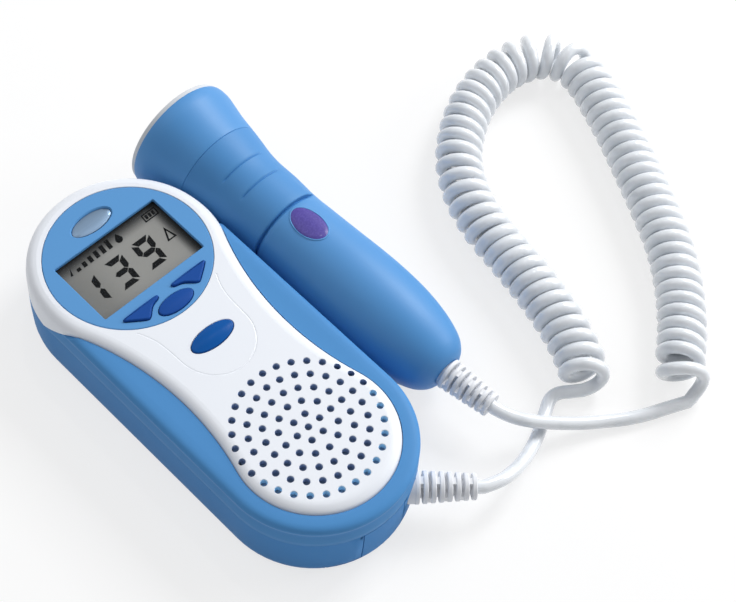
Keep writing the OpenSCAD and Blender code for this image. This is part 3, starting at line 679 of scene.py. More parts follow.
class Shape:
    """Closed surfaces gathered for one mesh, in millimetres."""

    def __init__(self) -> None:
        """Starts empty."""
        self.points: list[Sequence[float]] = []
        self.faces: list[list[int]] = []

    def _rings(self, rings: Sequence[Sequence[Sequence[float]]]) -> list[list[int]]:
        """Adds rings of points and returns their indices.

        Args:
            rings: Rings of points.

        Returns:
            The indices of each ring.
        """
        found = []
        for ring in rings:
            found.append(list(range(len(self.points), len(self.points) + len(ring))))
            self.points.extend(ring)
        return found

    def _bridge(self, low: list[int], high: list[int]) -> None:
        """Joins two rings, of which either may be a single point.

        Args:
            low: Indices of one ring.
            high: Indices of the other.
        """
        n = max(len(low), len(high))
        for i in range(n):
            j = (i + 1) % n
            quad = [low[i % len(low)], low[j % len(low)], high[j % len(high)], high[i % len(high)]]
            self.faces.append(list(dict.fromkeys(quad)))

    def loft(self, rings: Sequence[Sequence[Sequence[float]]], looped: bool = False) -> "Shape":
        """A surface through rings of equal counts.

        Args:
            rings: Rings of points. A ring of one point is a pole.
            looped: True where the last ring joins the first. Otherwise each end gets a cap.

        Returns:
            The shape itself.
        """
        found = self._rings(rings)
        for low, high in zip(found, found[1:]):
            self._bridge(low, high)
        if looped:
            self._bridge(found[-1], found[0])
        else:
            self.faces += [ring for ring in (found[0], found[-1]) if len(ring) > 1]
        return self

    def prism(self, outline: Sequence[Flat], low: float, high: float, flare: float = 0.0) -> "Shape":
        """An outline drawn up from low to high, whose last stretch may flare out.

        Args:
            outline: The outline.
            low: Height of its foot.
            high: Height of its top.
            flare: How far it flares out.

        Returns:
            The shape itself.
        """
        rings = [level(outline, low), level(outline, high - 1.4 * flare)]
        if flare:
            rings.append(level(grown(outline, 0.3 * flare), high - 0.8 * flare))
            rings.append(level(grown(outline, flare), high - 0.05))
        return self.loft([*rings, level(grown(outline, flare), high)])

    def revolve(
        self, profile: Sequence[Flat], steps: int = 96, looped: bool = False, at: Flat = (0, 0)
    ) -> "Shape":
        """A profile of (radius, height) turned about an upright axis.

        Args:
            profile: Points of the profile. A radius of 0 is a pole.
            steps: Facets round the axis.
            looped: True where the profile is a closed loop round a wall.
            at: Place of the axis.

        Returns:
            The shape itself.
        """
        turns = [math.tau * i / steps for i in range(steps)]
        rings = []
        for radius, z in profile:
            around = [(at[0] + radius * math.cos(a), at[1] + radius * math.sin(a), z) for a in turns]
            rings.append(around if radius > 0 else around[:1])
        return self.loft(rings, looped)

    def piece(self, name: str, place: Matrix | None = None) -> bpy.types.Object:
        """Makes the mesh object, in metres, with its faces pointing outwards.

        Args:
            name: Name of the object.
            place: Where the mesh goes, in millimetres.

        Returns:
            The object, at the origin.
        """
        mesh = bpy.data.meshes.new(name)
        mesh.from_pydata([Vector(p) for p in self.points], [], self.faces)
        if place is not None:
            mesh.transform(place)
        mesh.transform(Matrix.Scale(MM, 4))
        return outward(linked(name, mesh))


def linked(name: str, mesh: bpy.types.Mesh) -> bpy.types.Object:
    """A new object with that mesh, in the scene.

    Args:
        name: Name of the object.
        mesh: Its mesh.

    Returns:
        The object.
    """
    made = bpy.data.objects.new(name, mesh)
    bpy.context.scene.collection.objects.link(made)
    return made


def outward(obj: bpy.types.Object) -> bpy.types.Object:
    """Merges doubles and turns every closed surface outwards.

    Args:
        obj: The object.

    Returns:
        The object itself.
    """
    work = bmesh.new()
    work.from_mesh(obj.data)
    bmesh.ops.remove_doubles(work, verts=work.verts, dist=1e-7)
    bmesh.ops.dissolve_degenerate(work, edges=work.edges, dist=1e-8)
    bmesh.ops.recalc_face_normals(work, faces=work.faces)
    work.to_mesh(obj.data)
    work.free()
    return obj


def settle(obj: bpy.types.Object) -> bpy.types.Object:
    """Turns an object's modifiers into its mesh.

    Args:
        obj: The object.

    Returns:
        The object itself.
    """
    tree = bpy.context.evaluated_depsgraph_get()
    mesh = bpy.data.meshes.new_from_object(obj.evaluated_get(tree), depsgraph=tree)
    obj.modifiers.clear()
    obj.data = mesh
    return obj


def carve(obj: bpy.types.Object, cutter: bpy.types.Object, cut: Cut = Cut.REMOVE) -> bpy.types.Object:
    """Cuts or adds a second solid, which is used up.

    Args:
        obj: The solid that changes.
        cutter: The other solid.
        cut: What it does.

    Returns:
        The changed solid.
    """
    modifier = obj.modifiers.new("cut", "BOOLEAN")
    modifier.operation = cut.value
    modifier.solver = "EXACT"
    modifier.object = cutter
    settle(obj)
    bpy.data.objects.remove(cutter)
    return obj


def smooth(obj: bpy.types.Object, angle: float = 32.0) -> bpy.types.Object:
    """Shades a mesh smooth between edges sharper than an angle, flat faces first.

    Args:
        obj: The object.
        angle: The angle, in degrees.

    Returns:
        The object itself.
    """
    obj.data.shade_smooth()
    obj.data.set_sharp_from_angle(angle=math.radians(angle))
    modifier = obj.modifiers.new("even_normals", "WEIGHTED_NORMAL")
    modifier.keep_sharp = True
    return settle(obj)


def polished(node: str) -> bpy.types.Object:
    """A merged and smoothly shaded copy of a construction solid.

    Args:
        node: Name of the solid.

    Returns:
        The copy.
    """
    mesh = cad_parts[node].data.copy()
    mesh.materials.clear()
    return smooth(outward(linked(node + "_finished", mesh)))


def dress(obj: bpy.types.Object, body: str, finish: Finish, *nodes: str) -> bpy.types.Object:
    """Gives a piece its finish and the body it rides on, and hides the nodes it stands for.

    Args:
        obj: The piece.
        body: Name of the body.
        finish: Its finish.
        nodes: Construction nodes that it replaces.

    Returns:
        The piece.
    """
    obj.data.materials.clear()
    obj.data.materials.append(finish.material())
    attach(obj, body)
    if nodes:
        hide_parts(*nodes)
    LOG.info("%s: %d faces on %s, %s", obj.name, len(obj.data.polygons), body, finish.name)
    return obj


def box_mm(node: str) -> tuple[Vector, Vector]:
    """Lowest and highest corners of a construction node, in millimetres."""
    low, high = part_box(node)
    return low / MM, high / MM


# ---- Trees that repeat a form ----


class Growth:
    """A Geometry Nodes tree with named inputs, and the way to run it on a mesh."""

    def __init__(self, name: str, inputs: dict[str, str]) -> None:
        """Makes the tree's interface.

        Args:
            name: Name of the tree.
            inputs: Socket type by input name.
        """
        self.tree = bpy.data.node_groups.new(name, "GeometryNodeTree")
        self.graph = Graph(self.tree)
        for label, kind in {"Geometry": "NodeSocketGeometry", **inputs}.items():
            self.tree.interface.new_socket(label, in_out="INPUT", socket_type=kind)
        self.tree.interface.new_socket("Geometry", in_out="OUTPUT", socket_type="NodeSocketGeometry")

    def given(self, name: str) -> Socket:
        """The value of one of the tree's inputs."""
        return self.graph.node("NodeGroupInput", output=name)

    def end(self, geometry: Socket) -> None:
        """Ends the tree in Realize Instances and Set Material.

        Args:
            geometry: What the tree has made.
        """
        real = self.graph.node("GeometryNodeRealizeInstances", inputs={"Geometry": geometry})
        inputs = {"Geometry": real, "Material": self.given("Material")}
        done = self.graph.node("GeometryNodeSetMaterial", inputs=inputs)
        self.graph.node("NodeGroupOutput", inputs={"Geometry": done})

    def run(self, obj: bpy.types.Object, values: dict[str, object]) -> bpy.types.Object:
        """Runs the tree on an object and keeps the result as a plain mesh.

        Args:
            obj: The object whose mesh goes in.
            values: Input values by name.

        Returns:
            The object, with its modifier used up.
        """
        places = {s.name: s.identifier for s in self.tree.interface.items_tree if s.in_out == "INPUT"}
        modifier = obj.modifiers.new("growth", "NODES")
        modifier.node_group = self.tree
        for name, value in values.items():
            modifier[places[name]] = value
        return settle(obj)


def instanced(graph: Graph, points: Socket, form: Socket, scale: Value = None, turn: Value = None) -> Socket:
    """Instances of an object's mesh on points.

    Args:
        graph: The tree.
        points: Points, or a mesh whose vertices count as points.
        form: The object to repeat.
        scale: Size of each copy.
        turn: Rotation of each copy.

    Returns:
        The instances.
    """
    shape = graph.node("GeometryNodeObjectInfo", inputs={"Object": form}, output="Geometry")
    inputs = {"Points": points, "Instance": shape, "Scale": scale, "Rotation": turn}
    return graph.node("GeometryNodeInstanceOnPoints", inputs=inputs)


def perforation() -> Growth:
    """Tree that cuts one hole in the middle and rings of 6, 12, 18 and more round it.

    Returns:
        The tree.
    """
    inputs = {"Cutter": "NodeSocketObject", "Pitch": "NodeSocketFloat", "Holes": "NodeSocketInt"}
    growth = Growth("perforation", {**inputs, "Centre": "NodeSocketVector", "Material": "NodeSocketMaterial"})
    graph = growth.graph
    index = graph.node("GeometryNodeInputIndex")
    ring = graph.math("CEIL", (graph.math("SQRT", index * 12 + 9) - 3) / 6 - 0.001)
    first = ring * (ring - 1) * 3 + 1
    angle = (index - first) * (math.pi / 3) / graph.math("MAXIMUM", ring, 1)
    reach = ring * growth.given("Pitch")
    place = {"X": reach * graph.math("COSINE", angle), "Y": reach * graph.math("SINE", angle)}
    both = {"Vector": graph.node("ShaderNodeCombineXYZ", inputs=place), "Vector_001": growth.given("Centre")}
    position = graph.node("ShaderNodeVectorMath", inputs=both)
    points = graph.node("GeometryNodePoints", inputs={"Count": growth.given("Holes"), "Position": position})
    copies = instanced(graph, points, growth.given("Cutter"))
    real = graph.node("GeometryNodeRealizeInstances", inputs={"Geometry": copies})
    cut = {"Mesh 1": growth.given("Geometry"), "Mesh 2": real}
    growth.end(graph.node("GeometryNodeMeshBoolean", {"operation": "DIFFERENCE", "solver": "MANIFOLD"}, cut))
    return growth


def ribbing() -> Growth:
    """Tree that stands tapering rings in a row and joins them by webs that turn a quarter each time.

    Returns:
        The tree.
    """
    inputs = {"Ring": "NodeSocketObject", "Web": "NodeSocketObject", "Count": "NodeSocketInt"}
    sizes = {name: "NodeSocketFloat" for name in ("Step", "Root Radius", "Tip Radius")}
    growth = Growth("ribbing", {**inputs, **sizes, "Material": "NodeSocketMaterial"})
    graph = growth.graph
    index = graph.node("GeometryNodeInputIndex")
    step = growth.given("Step")
    root, tip, count = (growth.given(name) for name in ("Root Radius", "Tip Radius", "Count"))
    offset = graph.node("ShaderNodeCombineXYZ", inputs={"Z": step})
    parts = [growth.given("Geometry")]
    for form, fewer in (("Ring", 0), ("Web", 1)):
        radius = root + (tip - root) * (index + fewer) / (count - 1)
        size = graph.node("ShaderNodeCombineXYZ", inputs={"X": radius, "Y": radius, "Z": 1.0})
        line = graph.node("GeometryNodeMeshLine", inputs={"Count": count - fewer, "Offset": offset})
        quarter = graph.math("MODULO", index, 2) * (math.pi / 2)
        turn = graph.node("ShaderNodeCombineXYZ", inputs={"Z": quarter})
        parts.append(instanced(graph, line, growth.given(form), size, turn))
    growth.end(graph.node("GeometryNodeJoinGeometry", inputs={"Geometry": parts}))
    return growth


def copying() -> Growth:
    """Tree that puts a copy of a form on every vertex of a mesh.

    Returns:
        The tree.
    """
    growth = Growth("copying", {"Form": "NodeSocketObject", "Material": "NodeSocketMaterial"})
    growth.end(instanced(growth.graph, growth.given("Geometry"), growth.given("Form")))
    return growth


def copies(name: str, form: bpy.types.Object, places: Sequence[Point], finish: Finish) -> bpy.types.Object:
    """Copies of a form at places in millimetres, as one mesh. The form is used up.

    Args:
        name: Name of the object.
        form: The form.
        places: Where the copies go.
        finish: Their finish.

    Returns:
        The object.
    """
    mesh = bpy.data.meshes.new(name)
    mesh.from_pydata([Vector(p) * MM for p in places], [], [])
    made = copying().run(linked(name, mesh), {"Form": form, "Material": finish.material()})
    bpy.data.objects.remove(form)
    return made


# ---- Monitor case ----


@dataclass(frozen=True)
class CaseForm:
    """Outlines and heights that the case's pieces share, in millimetres."""

    width: float = 57.0
    length: float = 133.5
    height: float = 26.0
    split: float = 16.0
    wall: float = 2.0
    lobe_radius: float = 23.3
    waist_radius: float = 90.0
    shoulder: float = 24.4
    seat: float = 23.4
    seat_width: float = 1.2
    ceiling: float = 21.4
    plate: float = 2.0
    roll: float = 3.4
    tip_angle: float = 6.5
    hood_start: float = -9.2
    outlet_turn: float = -60.0
    outlet_height: float = 11.0
    relief_heading: float = -42.0
    relief_length: float = 17.0
    relief_root: float = 2.4

    @property
    def outlet(self) -> Vector:
        """Where the strain relief leaves the case.

        Returns:
            The place.
        """
        turn = math.radians(self.outlet_turn)
        side, end = self.end_radius * math.cos(turn), self.end_radius * math.sin(turn)
        return Vector((side, -self.end_y + end, self.outlet_height))

    @property
    def end_radius(self) -> float:
        """Radius of both round ends."""
        return self.width / 2

    @property
    def end_y(self) -> float:
        """Place of the display end's middle."""
        return self.length / 2 - self.end_radius

    @property
    def lobe_y(self) -> float:
        """Place of the speaker lobe's middle."""
        return -self.end_y - 0.25

    @property
    def waist(self) -> tuple[float, float, float, float]:
        """Middle of the waist arc, and the angles where it meets the display end and the lobe.

        Returns:
            X and Y of the middle, and the two angles in degrees.
        """
        lobe_reach = self.lobe_radius + self.waist_radius
        end_reach = self.end_radius + self.waist_radius
        span = self.end_y - self.lobe_y
        y = self.lobe_y + (lobe_reach**2 - end_reach**2 + span**2) / (2 * span)
        x = math.sqrt(lobe_reach**2 - (y - self.lobe_y) ** 2)
        to_end = math.degrees(math.atan2(self.end_y - y, x))
        return x, y, to_end, math.degrees(math.atan2(y - self.lobe_y, x))

    def case_outline(self, inset: float, steps: int = 72) -> list[Flat]:
        """Outline of the case.

        Args:
            inset: How far it is drawn in.
            steps: Points of each round end.

        Returns:
            The outline.
        """
        radius = self.end_radius - inset
        far = arc((0, self.end_y), radius, 0, 180 + 180 / steps, steps + 1)
        return far + arc((0, -self.end_y), radius, 180, 360 + 180 / steps, steps + 1)

    def cover_outline(self, inset: float) -> list[Flat]:
        """Outline of the hourglass cover.

        Args:
            inset: How far it is drawn in.

        Returns:
            The outline.
        """
        x, y, to_end, to_lobe = self.waist
        end, lobe = (0.0, self.end_y), (0.0, self.lobe_y)
        radius, waist = self.end_radius - inset, self.waist_radius + inset
        tip = self.tip_angle
        return (
            arc(end, radius, -to_end, tip, 12)
            + arc(end, radius, tip, 180 - tip, 64)
            + arc(end, radius, 180 - tip, 180 + to_end, 12)
            + arc((-x, y), waist, to_end, -to_lobe, 26)
            + arc(lobe, self.lobe_radius - inset, 180 - to_lobe, 360 + to_lobe, 80)
            + arc((x, y), waist, 180 + to_lobe, 180 - to_end, 26)
        )

    @property
    def hood(self) -> Flat:
        """Where the hood's rim leaves the ledge, and where it reaches the parting line."""
        rise = self.end_radius * math.sin(math.radians(self.tip_angle))
        return self.end_y + self.hood_start, self.end_y + rise

    def hood_share(self, y: float) -> float:
        """How far along the hood's slanting rim a place is, from 0 to 1."""
        start, end = self.hood
        return min(1.0, max(0.0, (y - start) / (end - start)))

    def edge(self, y: float) -> list[Flat]:
        """Section of the cover's edge, from the flat top over the roll to its underside.

        Args:
            y: Place along the case.

        Returns:
            Points of (inset, height).
        """
        share = self.hood_share(y)
        rim = self.seat + (self.split - self.seat) * share
        top, under = self.height, self.height - self.plate

        def mix(a: float, b: float) -> float:
            """Value between the ledge's and the hood's."""
            return a + (b - a) * share

        side = max(rim + 0.2, top - mix(2.0, 4.4))
        roll = [
            (self.roll, top),
            (mix(2.2, 2.0), top - mix(0.15, 0.4)),
            (mix(1.1, 0.9), top - mix(0.6, 1.25)),
            (mix(0.35, 0.25), top - mix(1.2, 2.5)),
            (0.0, side),
        ]
        curve = [tuple(row) for row in spline(roll, 4)]
        inner = max(rim + 0.4, under - mix(0, 0.8))
        lip = 0.12
        foot = [(0.0, rim + lip), (lip, rim), (self.wall, rim)]
        return curve + foot + [(self.wall, inner), (self.roll, under)]


@dataclass
class MonitorCase:
    """The blue case: upper shell, base, battery door and screws."""

    form: CaseForm = field(default_factory=CaseForm)
    cover_gap: float = 0.15
    lip: float = 0.12
    door_ribs: int = 6
    rib_step: float = 2.6
    rib_length: float = 12.0
    rib_half_width: float = 0.45
    rib_rise: float = 0.25
    first_rib: float = 9.0
    screw_radius: float = 2.4
    screw_height: float = 1.8
    side_post: Flat = (7.5, -22.0)
    end_post: Flat = (15.3, 15.5)

    def upper_shell(self) -> None:
        """The upper half: a rolled shoulder round the opening for the cover."""
        form = self.form
        top = form.shoulder
        profile = [
            (0.0, form.split + 1.4),
            (0.25, form.split + 2.9),
            (0.55, top - 3.9),
            (0.45, top - 3.0),
            (0.1, top - 2.2),
            (0.15, top - 1.4),
            (0.8, top - 0.6),
            (2.0, top - 0.15),
            (4.0, top),
        ]
        foot = [(self.lip, form.split), (0.0, form.split + self.lip)]
        rings = foot + [tuple(row) for row in spline(profile, 4)]
        shell = Shape().loft([level(form.case_outline(e), z) for e, z in rings]).piece("upper_shell_finished")
        hollow = [(form.wall, form.split - 1), (form.wall, form.ceiling - 1), (form.wall + 1, form.ceiling)]
        carve(shell, Shape().loft([level(form.case_outline(e), z) for e, z in hollow]).piece("hollow"))
        opening = Shape().prism(form.cover_outline(form.seat_width), form.split - 0.5, form.height + 1)
        carve(shell, opening.piece("opening"))
        ledge = Shape().prism(form.cover_outline(-self.cover_gap), form.seat, form.height + 1)
        carve(shell, ledge.piece("ledge"))
        carve(shell, self.hood_cutter())
        dress(smooth(shell), "monitor", SHELL_BLUE, "upper_shell")

    def hood_cutter(self) -> bpy.types.Object:
        """Block beyond the hood's slanting rim, where the cover takes over.

        Returns:
            The block.
        """
        form = self.form
        start, end = (y - self.cover_gap for y in form.hood)
        top, far = form.height + 1, form.length
        low = form.split - 1
        side = [(start - 1.5, top), (start - 1.5, form.seat + 1), (start, form.seat), (end, form.split)]
        side += [(end, low), (far, low), (far, top)]
        return Shape().loft([[(x, y, z) for y, z in side] for x in (-form.width, form.width)]).piece("beyond")

    def base(self) -> None:
        """The base and the battery door, with the door's thumb ribs."""
        form = self.form
        body = [(3.19, -0.01), (1.49, 0.34), (0.49, 1.39), (0.19, 3.19), (-0.01, 9.0), (-0.01, form.height)]
        envelope = Shape().loft([level(form.case_outline(e), z) for e, z in body]).piece("envelope")
        base = smooth(carve(polished("base_shell"), envelope, Cut.KEEP))
        dress(base, "monitor", CASE_BLUE, "base_shell")
        dress(polished("battery_door"), "door", CASE_BLUE, "battery_door")
        low, _ = box_mm("battery_door")
        half, rise = self.rib_half_width, self.rib_rise
        section = [(-half, 0.05), (-half * 0.6, -rise), (half * 0.6, -rise), (half, 0.05)]
        wide = self.rib_length / 2
        ends = [(-wide, 0.5), (-wide + 0.4, 1.0), (wide - 0.4, 1.0), (wide, 0.5)]
        rib = Shape().loft([[(x, y * s, z) for y, z in section] for x, s in ends]).piece("rib")
        first = low.y + self.first_rib
        places = [(0, first + self.rib_step * i, low.z) for i in range(self.door_ribs)]
        ribs = copies("battery_door_ribs", rib, places, CASE_BLUE)
        dress(smooth(ribs), "door", CASE_BLUE)

    def screws(self) -> None:
        """Cross recessed screws, deep in the base."""
        low, high = box_mm("case_screws")
        r, h = self.screw_radius, self.screw_height
        crown = [(0, h), (r, h), (r, 0.35), (r - 0.15, 0.12), (r - 0.6, 0.0), (0, 0)]
        head = Shape().revolve(crown, 40).piece("head")
        arm, width, deep = 1.5, 0.28, 0.9
        for turn in (0.0, math.pi / 2):
            bar = [(arm, width), (-arm, width), (-arm, -width), (arm, -width)]
            slot = Shape().prism(bar, -0.5, deep).piece("slot", Matrix.Rotation(turn, 4, "Z"))
            carve(head, slot)
        tip = high.z - low.z
        shank = Shape().revolve([(0, h - 0.1), (1, h - 0.1), (1, tip - 0.4), (0.5, tip), (0, tip)], 24)
        carve(head, shank.piece("shank"), Cut.ADD)
        inset, side_y = self.side_post
        end_x, past_end = self.end_post
        posts = [(s * (self.form.end_radius - inset), side_y, low.z) for s in (-1, 1)]
        posts += [(s * end_x, self.form.end_y + past_end, low.z) for s in (-1, 1)]
        made = copies("case_screws_finished", head, posts, SCREW_STEEL)
        dress(smooth(made), "monitor", SCREW_STEEL, "case_screws")

    def build(self) -> None:
        """Builds the case's pieces."""
        self.upper_shell()
        self.base()
        self.screws()


@dataclass
class FrontCover:
    """The white cover with its grille, tongue groove and openings."""

    form: CaseForm = field(default_factory=CaseForm)
    pitch: float = 4.1
    hole: float = 1.9
    rings: int = 5
    flare: float = 0.16
    bezel_gap: float = 0.12
    groove_width: float = 0.8
    groove_depth: float = 0.16
    tongue_half_width: float = 11.6
    tongue_length: float = 12.4
    tongue_drop: float = 0.2
    tongue_flare: tuple[Flat, ...] = ((16.3, 19.8), (14.6, 17.2), (13.4, 14.8), (12.3, 11.4), (11.8, 7.4))
    key_gap: float = 0.16
    key_flange: float = 0.5
    cloth_radius: float = 22.6
    # Outer bores below this offset from the grille's middle get painted light, in millimetres.
    lit_below: float = -1.5

    @property
    def grille_y(self) -> float:
        """Place of the middle hole."""
        return -self.form.end_y + 2.6

    def shell(self) -> bpy.types.Object:
        """The cover without its openings.

        Returns:
            The cover.
        """
        form = self.form
        wide, narrow = form.cover_outline(0.0), form.cover_outline(0.5)
        sections = [form.edge(y) for _, y in wide]
        rings = []
        for k in range(len(sections[0])):
            ring = []
            for (x0, y0), (x1, y1), section in zip(wide, narrow, sections):
                inset, z = section[k]
                share = inset / 0.5
                ring.append((x0 + (x1 - x0) * share, y0 + (y1 - y0) * share, z))
            rings.append(ring)
        return Shape().loft(rings).piece("front_cover_finished")

    def tongue(self) -> list[Flat]:
        """Outline of the tongue round the power key.

        Returns:
            The outline.
        """
        low, high = box_mm("power_key")
        middle = (low.y + high.y) / 2 - self.tongue_drop
        wide, long = self.tongue_half_width, self.tongue_length
        left = spline([(-x, y) for x, y in self.tongue_flare] + [(-wide, middle)], 5)[:-1]
        turns = [math.pi * (1 + i / 32) for i in range(33)]
        round_end = [(wide * math.cos(a), middle + long * math.sin(a)) for a in turns]
        return [tuple(p) for p in left] + round_end + [(-x, y) for x, y in reversed(left)]

    def groove(self) -> bpy.types.Object:
        """Cutter of the fine groove along the tongue.

        Returns:
            The cutter.
        """
        low, high = box_mm("display_bezel")
        centre = Vector((0, (low.y + high.y) / 2))
        reach = (high.x - low.x) / 2 + 0.9
        line = [p for p in self.tongue() if (Vector(p) - centre).length > reach]
        top, half = self.form.height, self.groove_width / 2
        outer, inner = grown(line, half)[1:-1], grown(line, -half)[1:-1]
        rings = []
        for o, m, i in zip(outer, line[1:-1], inner):
            bottom = (*m, top - self.groove_depth)
            rings.append([(*o, top + 0.2), (*o, top + 0.01), bottom, (*i, top + 0.01), (*i, top + 0.2)])
        return Shape().loft(rings).piece("groove")

    def build(self) -> None:
        """Builds the cover, cuts it and punches the grille."""
        top, flare = self.form.height, self.flare
        cover = self.shell()
        low, high = box_mm("display_bezel")
        edge, rim, at = 0.12, (high.x - low.x) / 2 + self.bezel_gap, (0.0, (low.y + high.y) / 2)
        section = [(0, top - 3), (rim, top - 3), (rim, top - edge)]
        section += [(rim + edge, top), (rim + edge, top + 1), (0, top + 1)]
        carve(cover, Shape().revolve(section, 128, at=at).piece("seat"))
        low, high = box_mm("power_key")
        wider = self.key_gap - self.key_flange
        key = ellipse((0, (low.y + high.y) / 2), high.x + wider, (high.y - low.y) / 2 + wider)
        carve(cover, Shape().prism(key, top - 3, top + 0.02, 0.14).piece("key_hole"))
        carve(cover, self.groove())
        r = self.hole / 2
        section = [(0, top - 3), (r, top - 3), (r, top - 2.2 * flare), (r + 0.3 * flare, top - flare)]
        section += [(r + 1.3 * flare, top + 0.3 * flare), (r + 1.3 * flare, top + 0.5), (0, top + 0.5)]
        cutter = Shape().revolve(section, 20).piece("punch")
        holes = 1 + 3 * self.rings * (self.rings + 1)
        values = {"Cutter": cutter, "Pitch": self.pitch * MM, "Holes": holes}
        values |= {"Material": COVER_WHITE.material(), "Centre": Vector((0, self.grille_y * MM, 0))}
        perforation().run(cover, values)
        bpy.data.objects.remove(cutter)
        cover = smooth(outward(cover), 28.0)
        self.mark_bores(cover)
        dress(cover, "monitor", COVER_WHITE, "front_cover")
        self.speaker()

    def mark_bores(self, cover: bpy.types.Object) -> None:
        """Marks the walls of the sound holes in a face attribute: 1 for painted shade, 2 for painted light in
        the outer ring's lower half.

        Args:
            cover: The finished cover.
        """
        centre = Vector((0, self.grille_y, 0)) * MM
        reach = ((self.rings + 0.5) * self.pitch - 0.6) * MM
        outer = (self.rings - 0.4) * self.pitch * MM
        underside = (self.form.height - self.form.plate) * MM
        values = []
        for face in cover.data.polygons:
            place = (face.center - centre).xy
            # 1 marks a bore wall for painted shade; 2, in the outer ring below the grille's middle, for
            # painted light.
            bore = abs(face.normal.z) < 0.55 and face.center.z > underside and place.length < reach
            lit = place.length > outer and place.y < self.lit_below * MM
            values.append((2.0 if lit else 1.0) if bore else 0.0)
        cover.data.attributes.new("bore", "FLOAT", "FACE").data.foreach_set("value", values)

    def speaker(self) -> None:
        """The dust cloth that shows through the holes."""
        low, high = box_mm("speaker_cloth")
        sag = [(0.0, high.z - 0.1), (12.0, high.z - 0.06), (self.cloth_radius - 0.4, high.z)]
        rim = [(self.cloth_radius, high.z - 0.1), (self.cloth_radius, low.z), (0.0, low.z - 0.1)]
        cloth = Shape().revolve(sag + rim, 96, at=(0, self.grille_y)).piece("speaker_cloth_finished")
        room = Shape().prism(self.form.cover_outline(self.form.wall + 0.1), low.z - 1, high.z + 1)
        carve(cloth, room.piece("room"), Cut.KEEP)
        dress(smooth(cloth), "monitor", CLOTH, "speaker_cloth")


# ---- Display and keys ----


class Segment(Enum):
    """Strokes of a seven segment digit, from (column, row) to (column, row)."""

    TOP = ((0, 2), (1, 2))
    MIDDLE = ((0, 1), (1, 1))
    BOTTOM = ((0, 0), (1, 0))
    UPPER_LEFT = ((0, 1), (0, 2))
    UPPER_RIGHT = ((1, 1), (1, 2))
    LOWER_LEFT = ((0, 0), (0, 1))
    LOWER_RIGHT = ((1, 0), (1, 1))


RIGHT_STROKES = [Segment.UPPER_RIGHT, Segment.LOWER_RIGHT]
LEVEL_STROKES = [Segment.TOP, Segment.MIDDLE, Segment.BOTTOM]
DIGITS = {
    1: RIGHT_STROKES,
    3: LEVEL_STROKES + RIGHT_STROKES,
    9: LEVEL_STROKES + RIGHT_STROKES + [Segment.UPPER_LEFT],
}


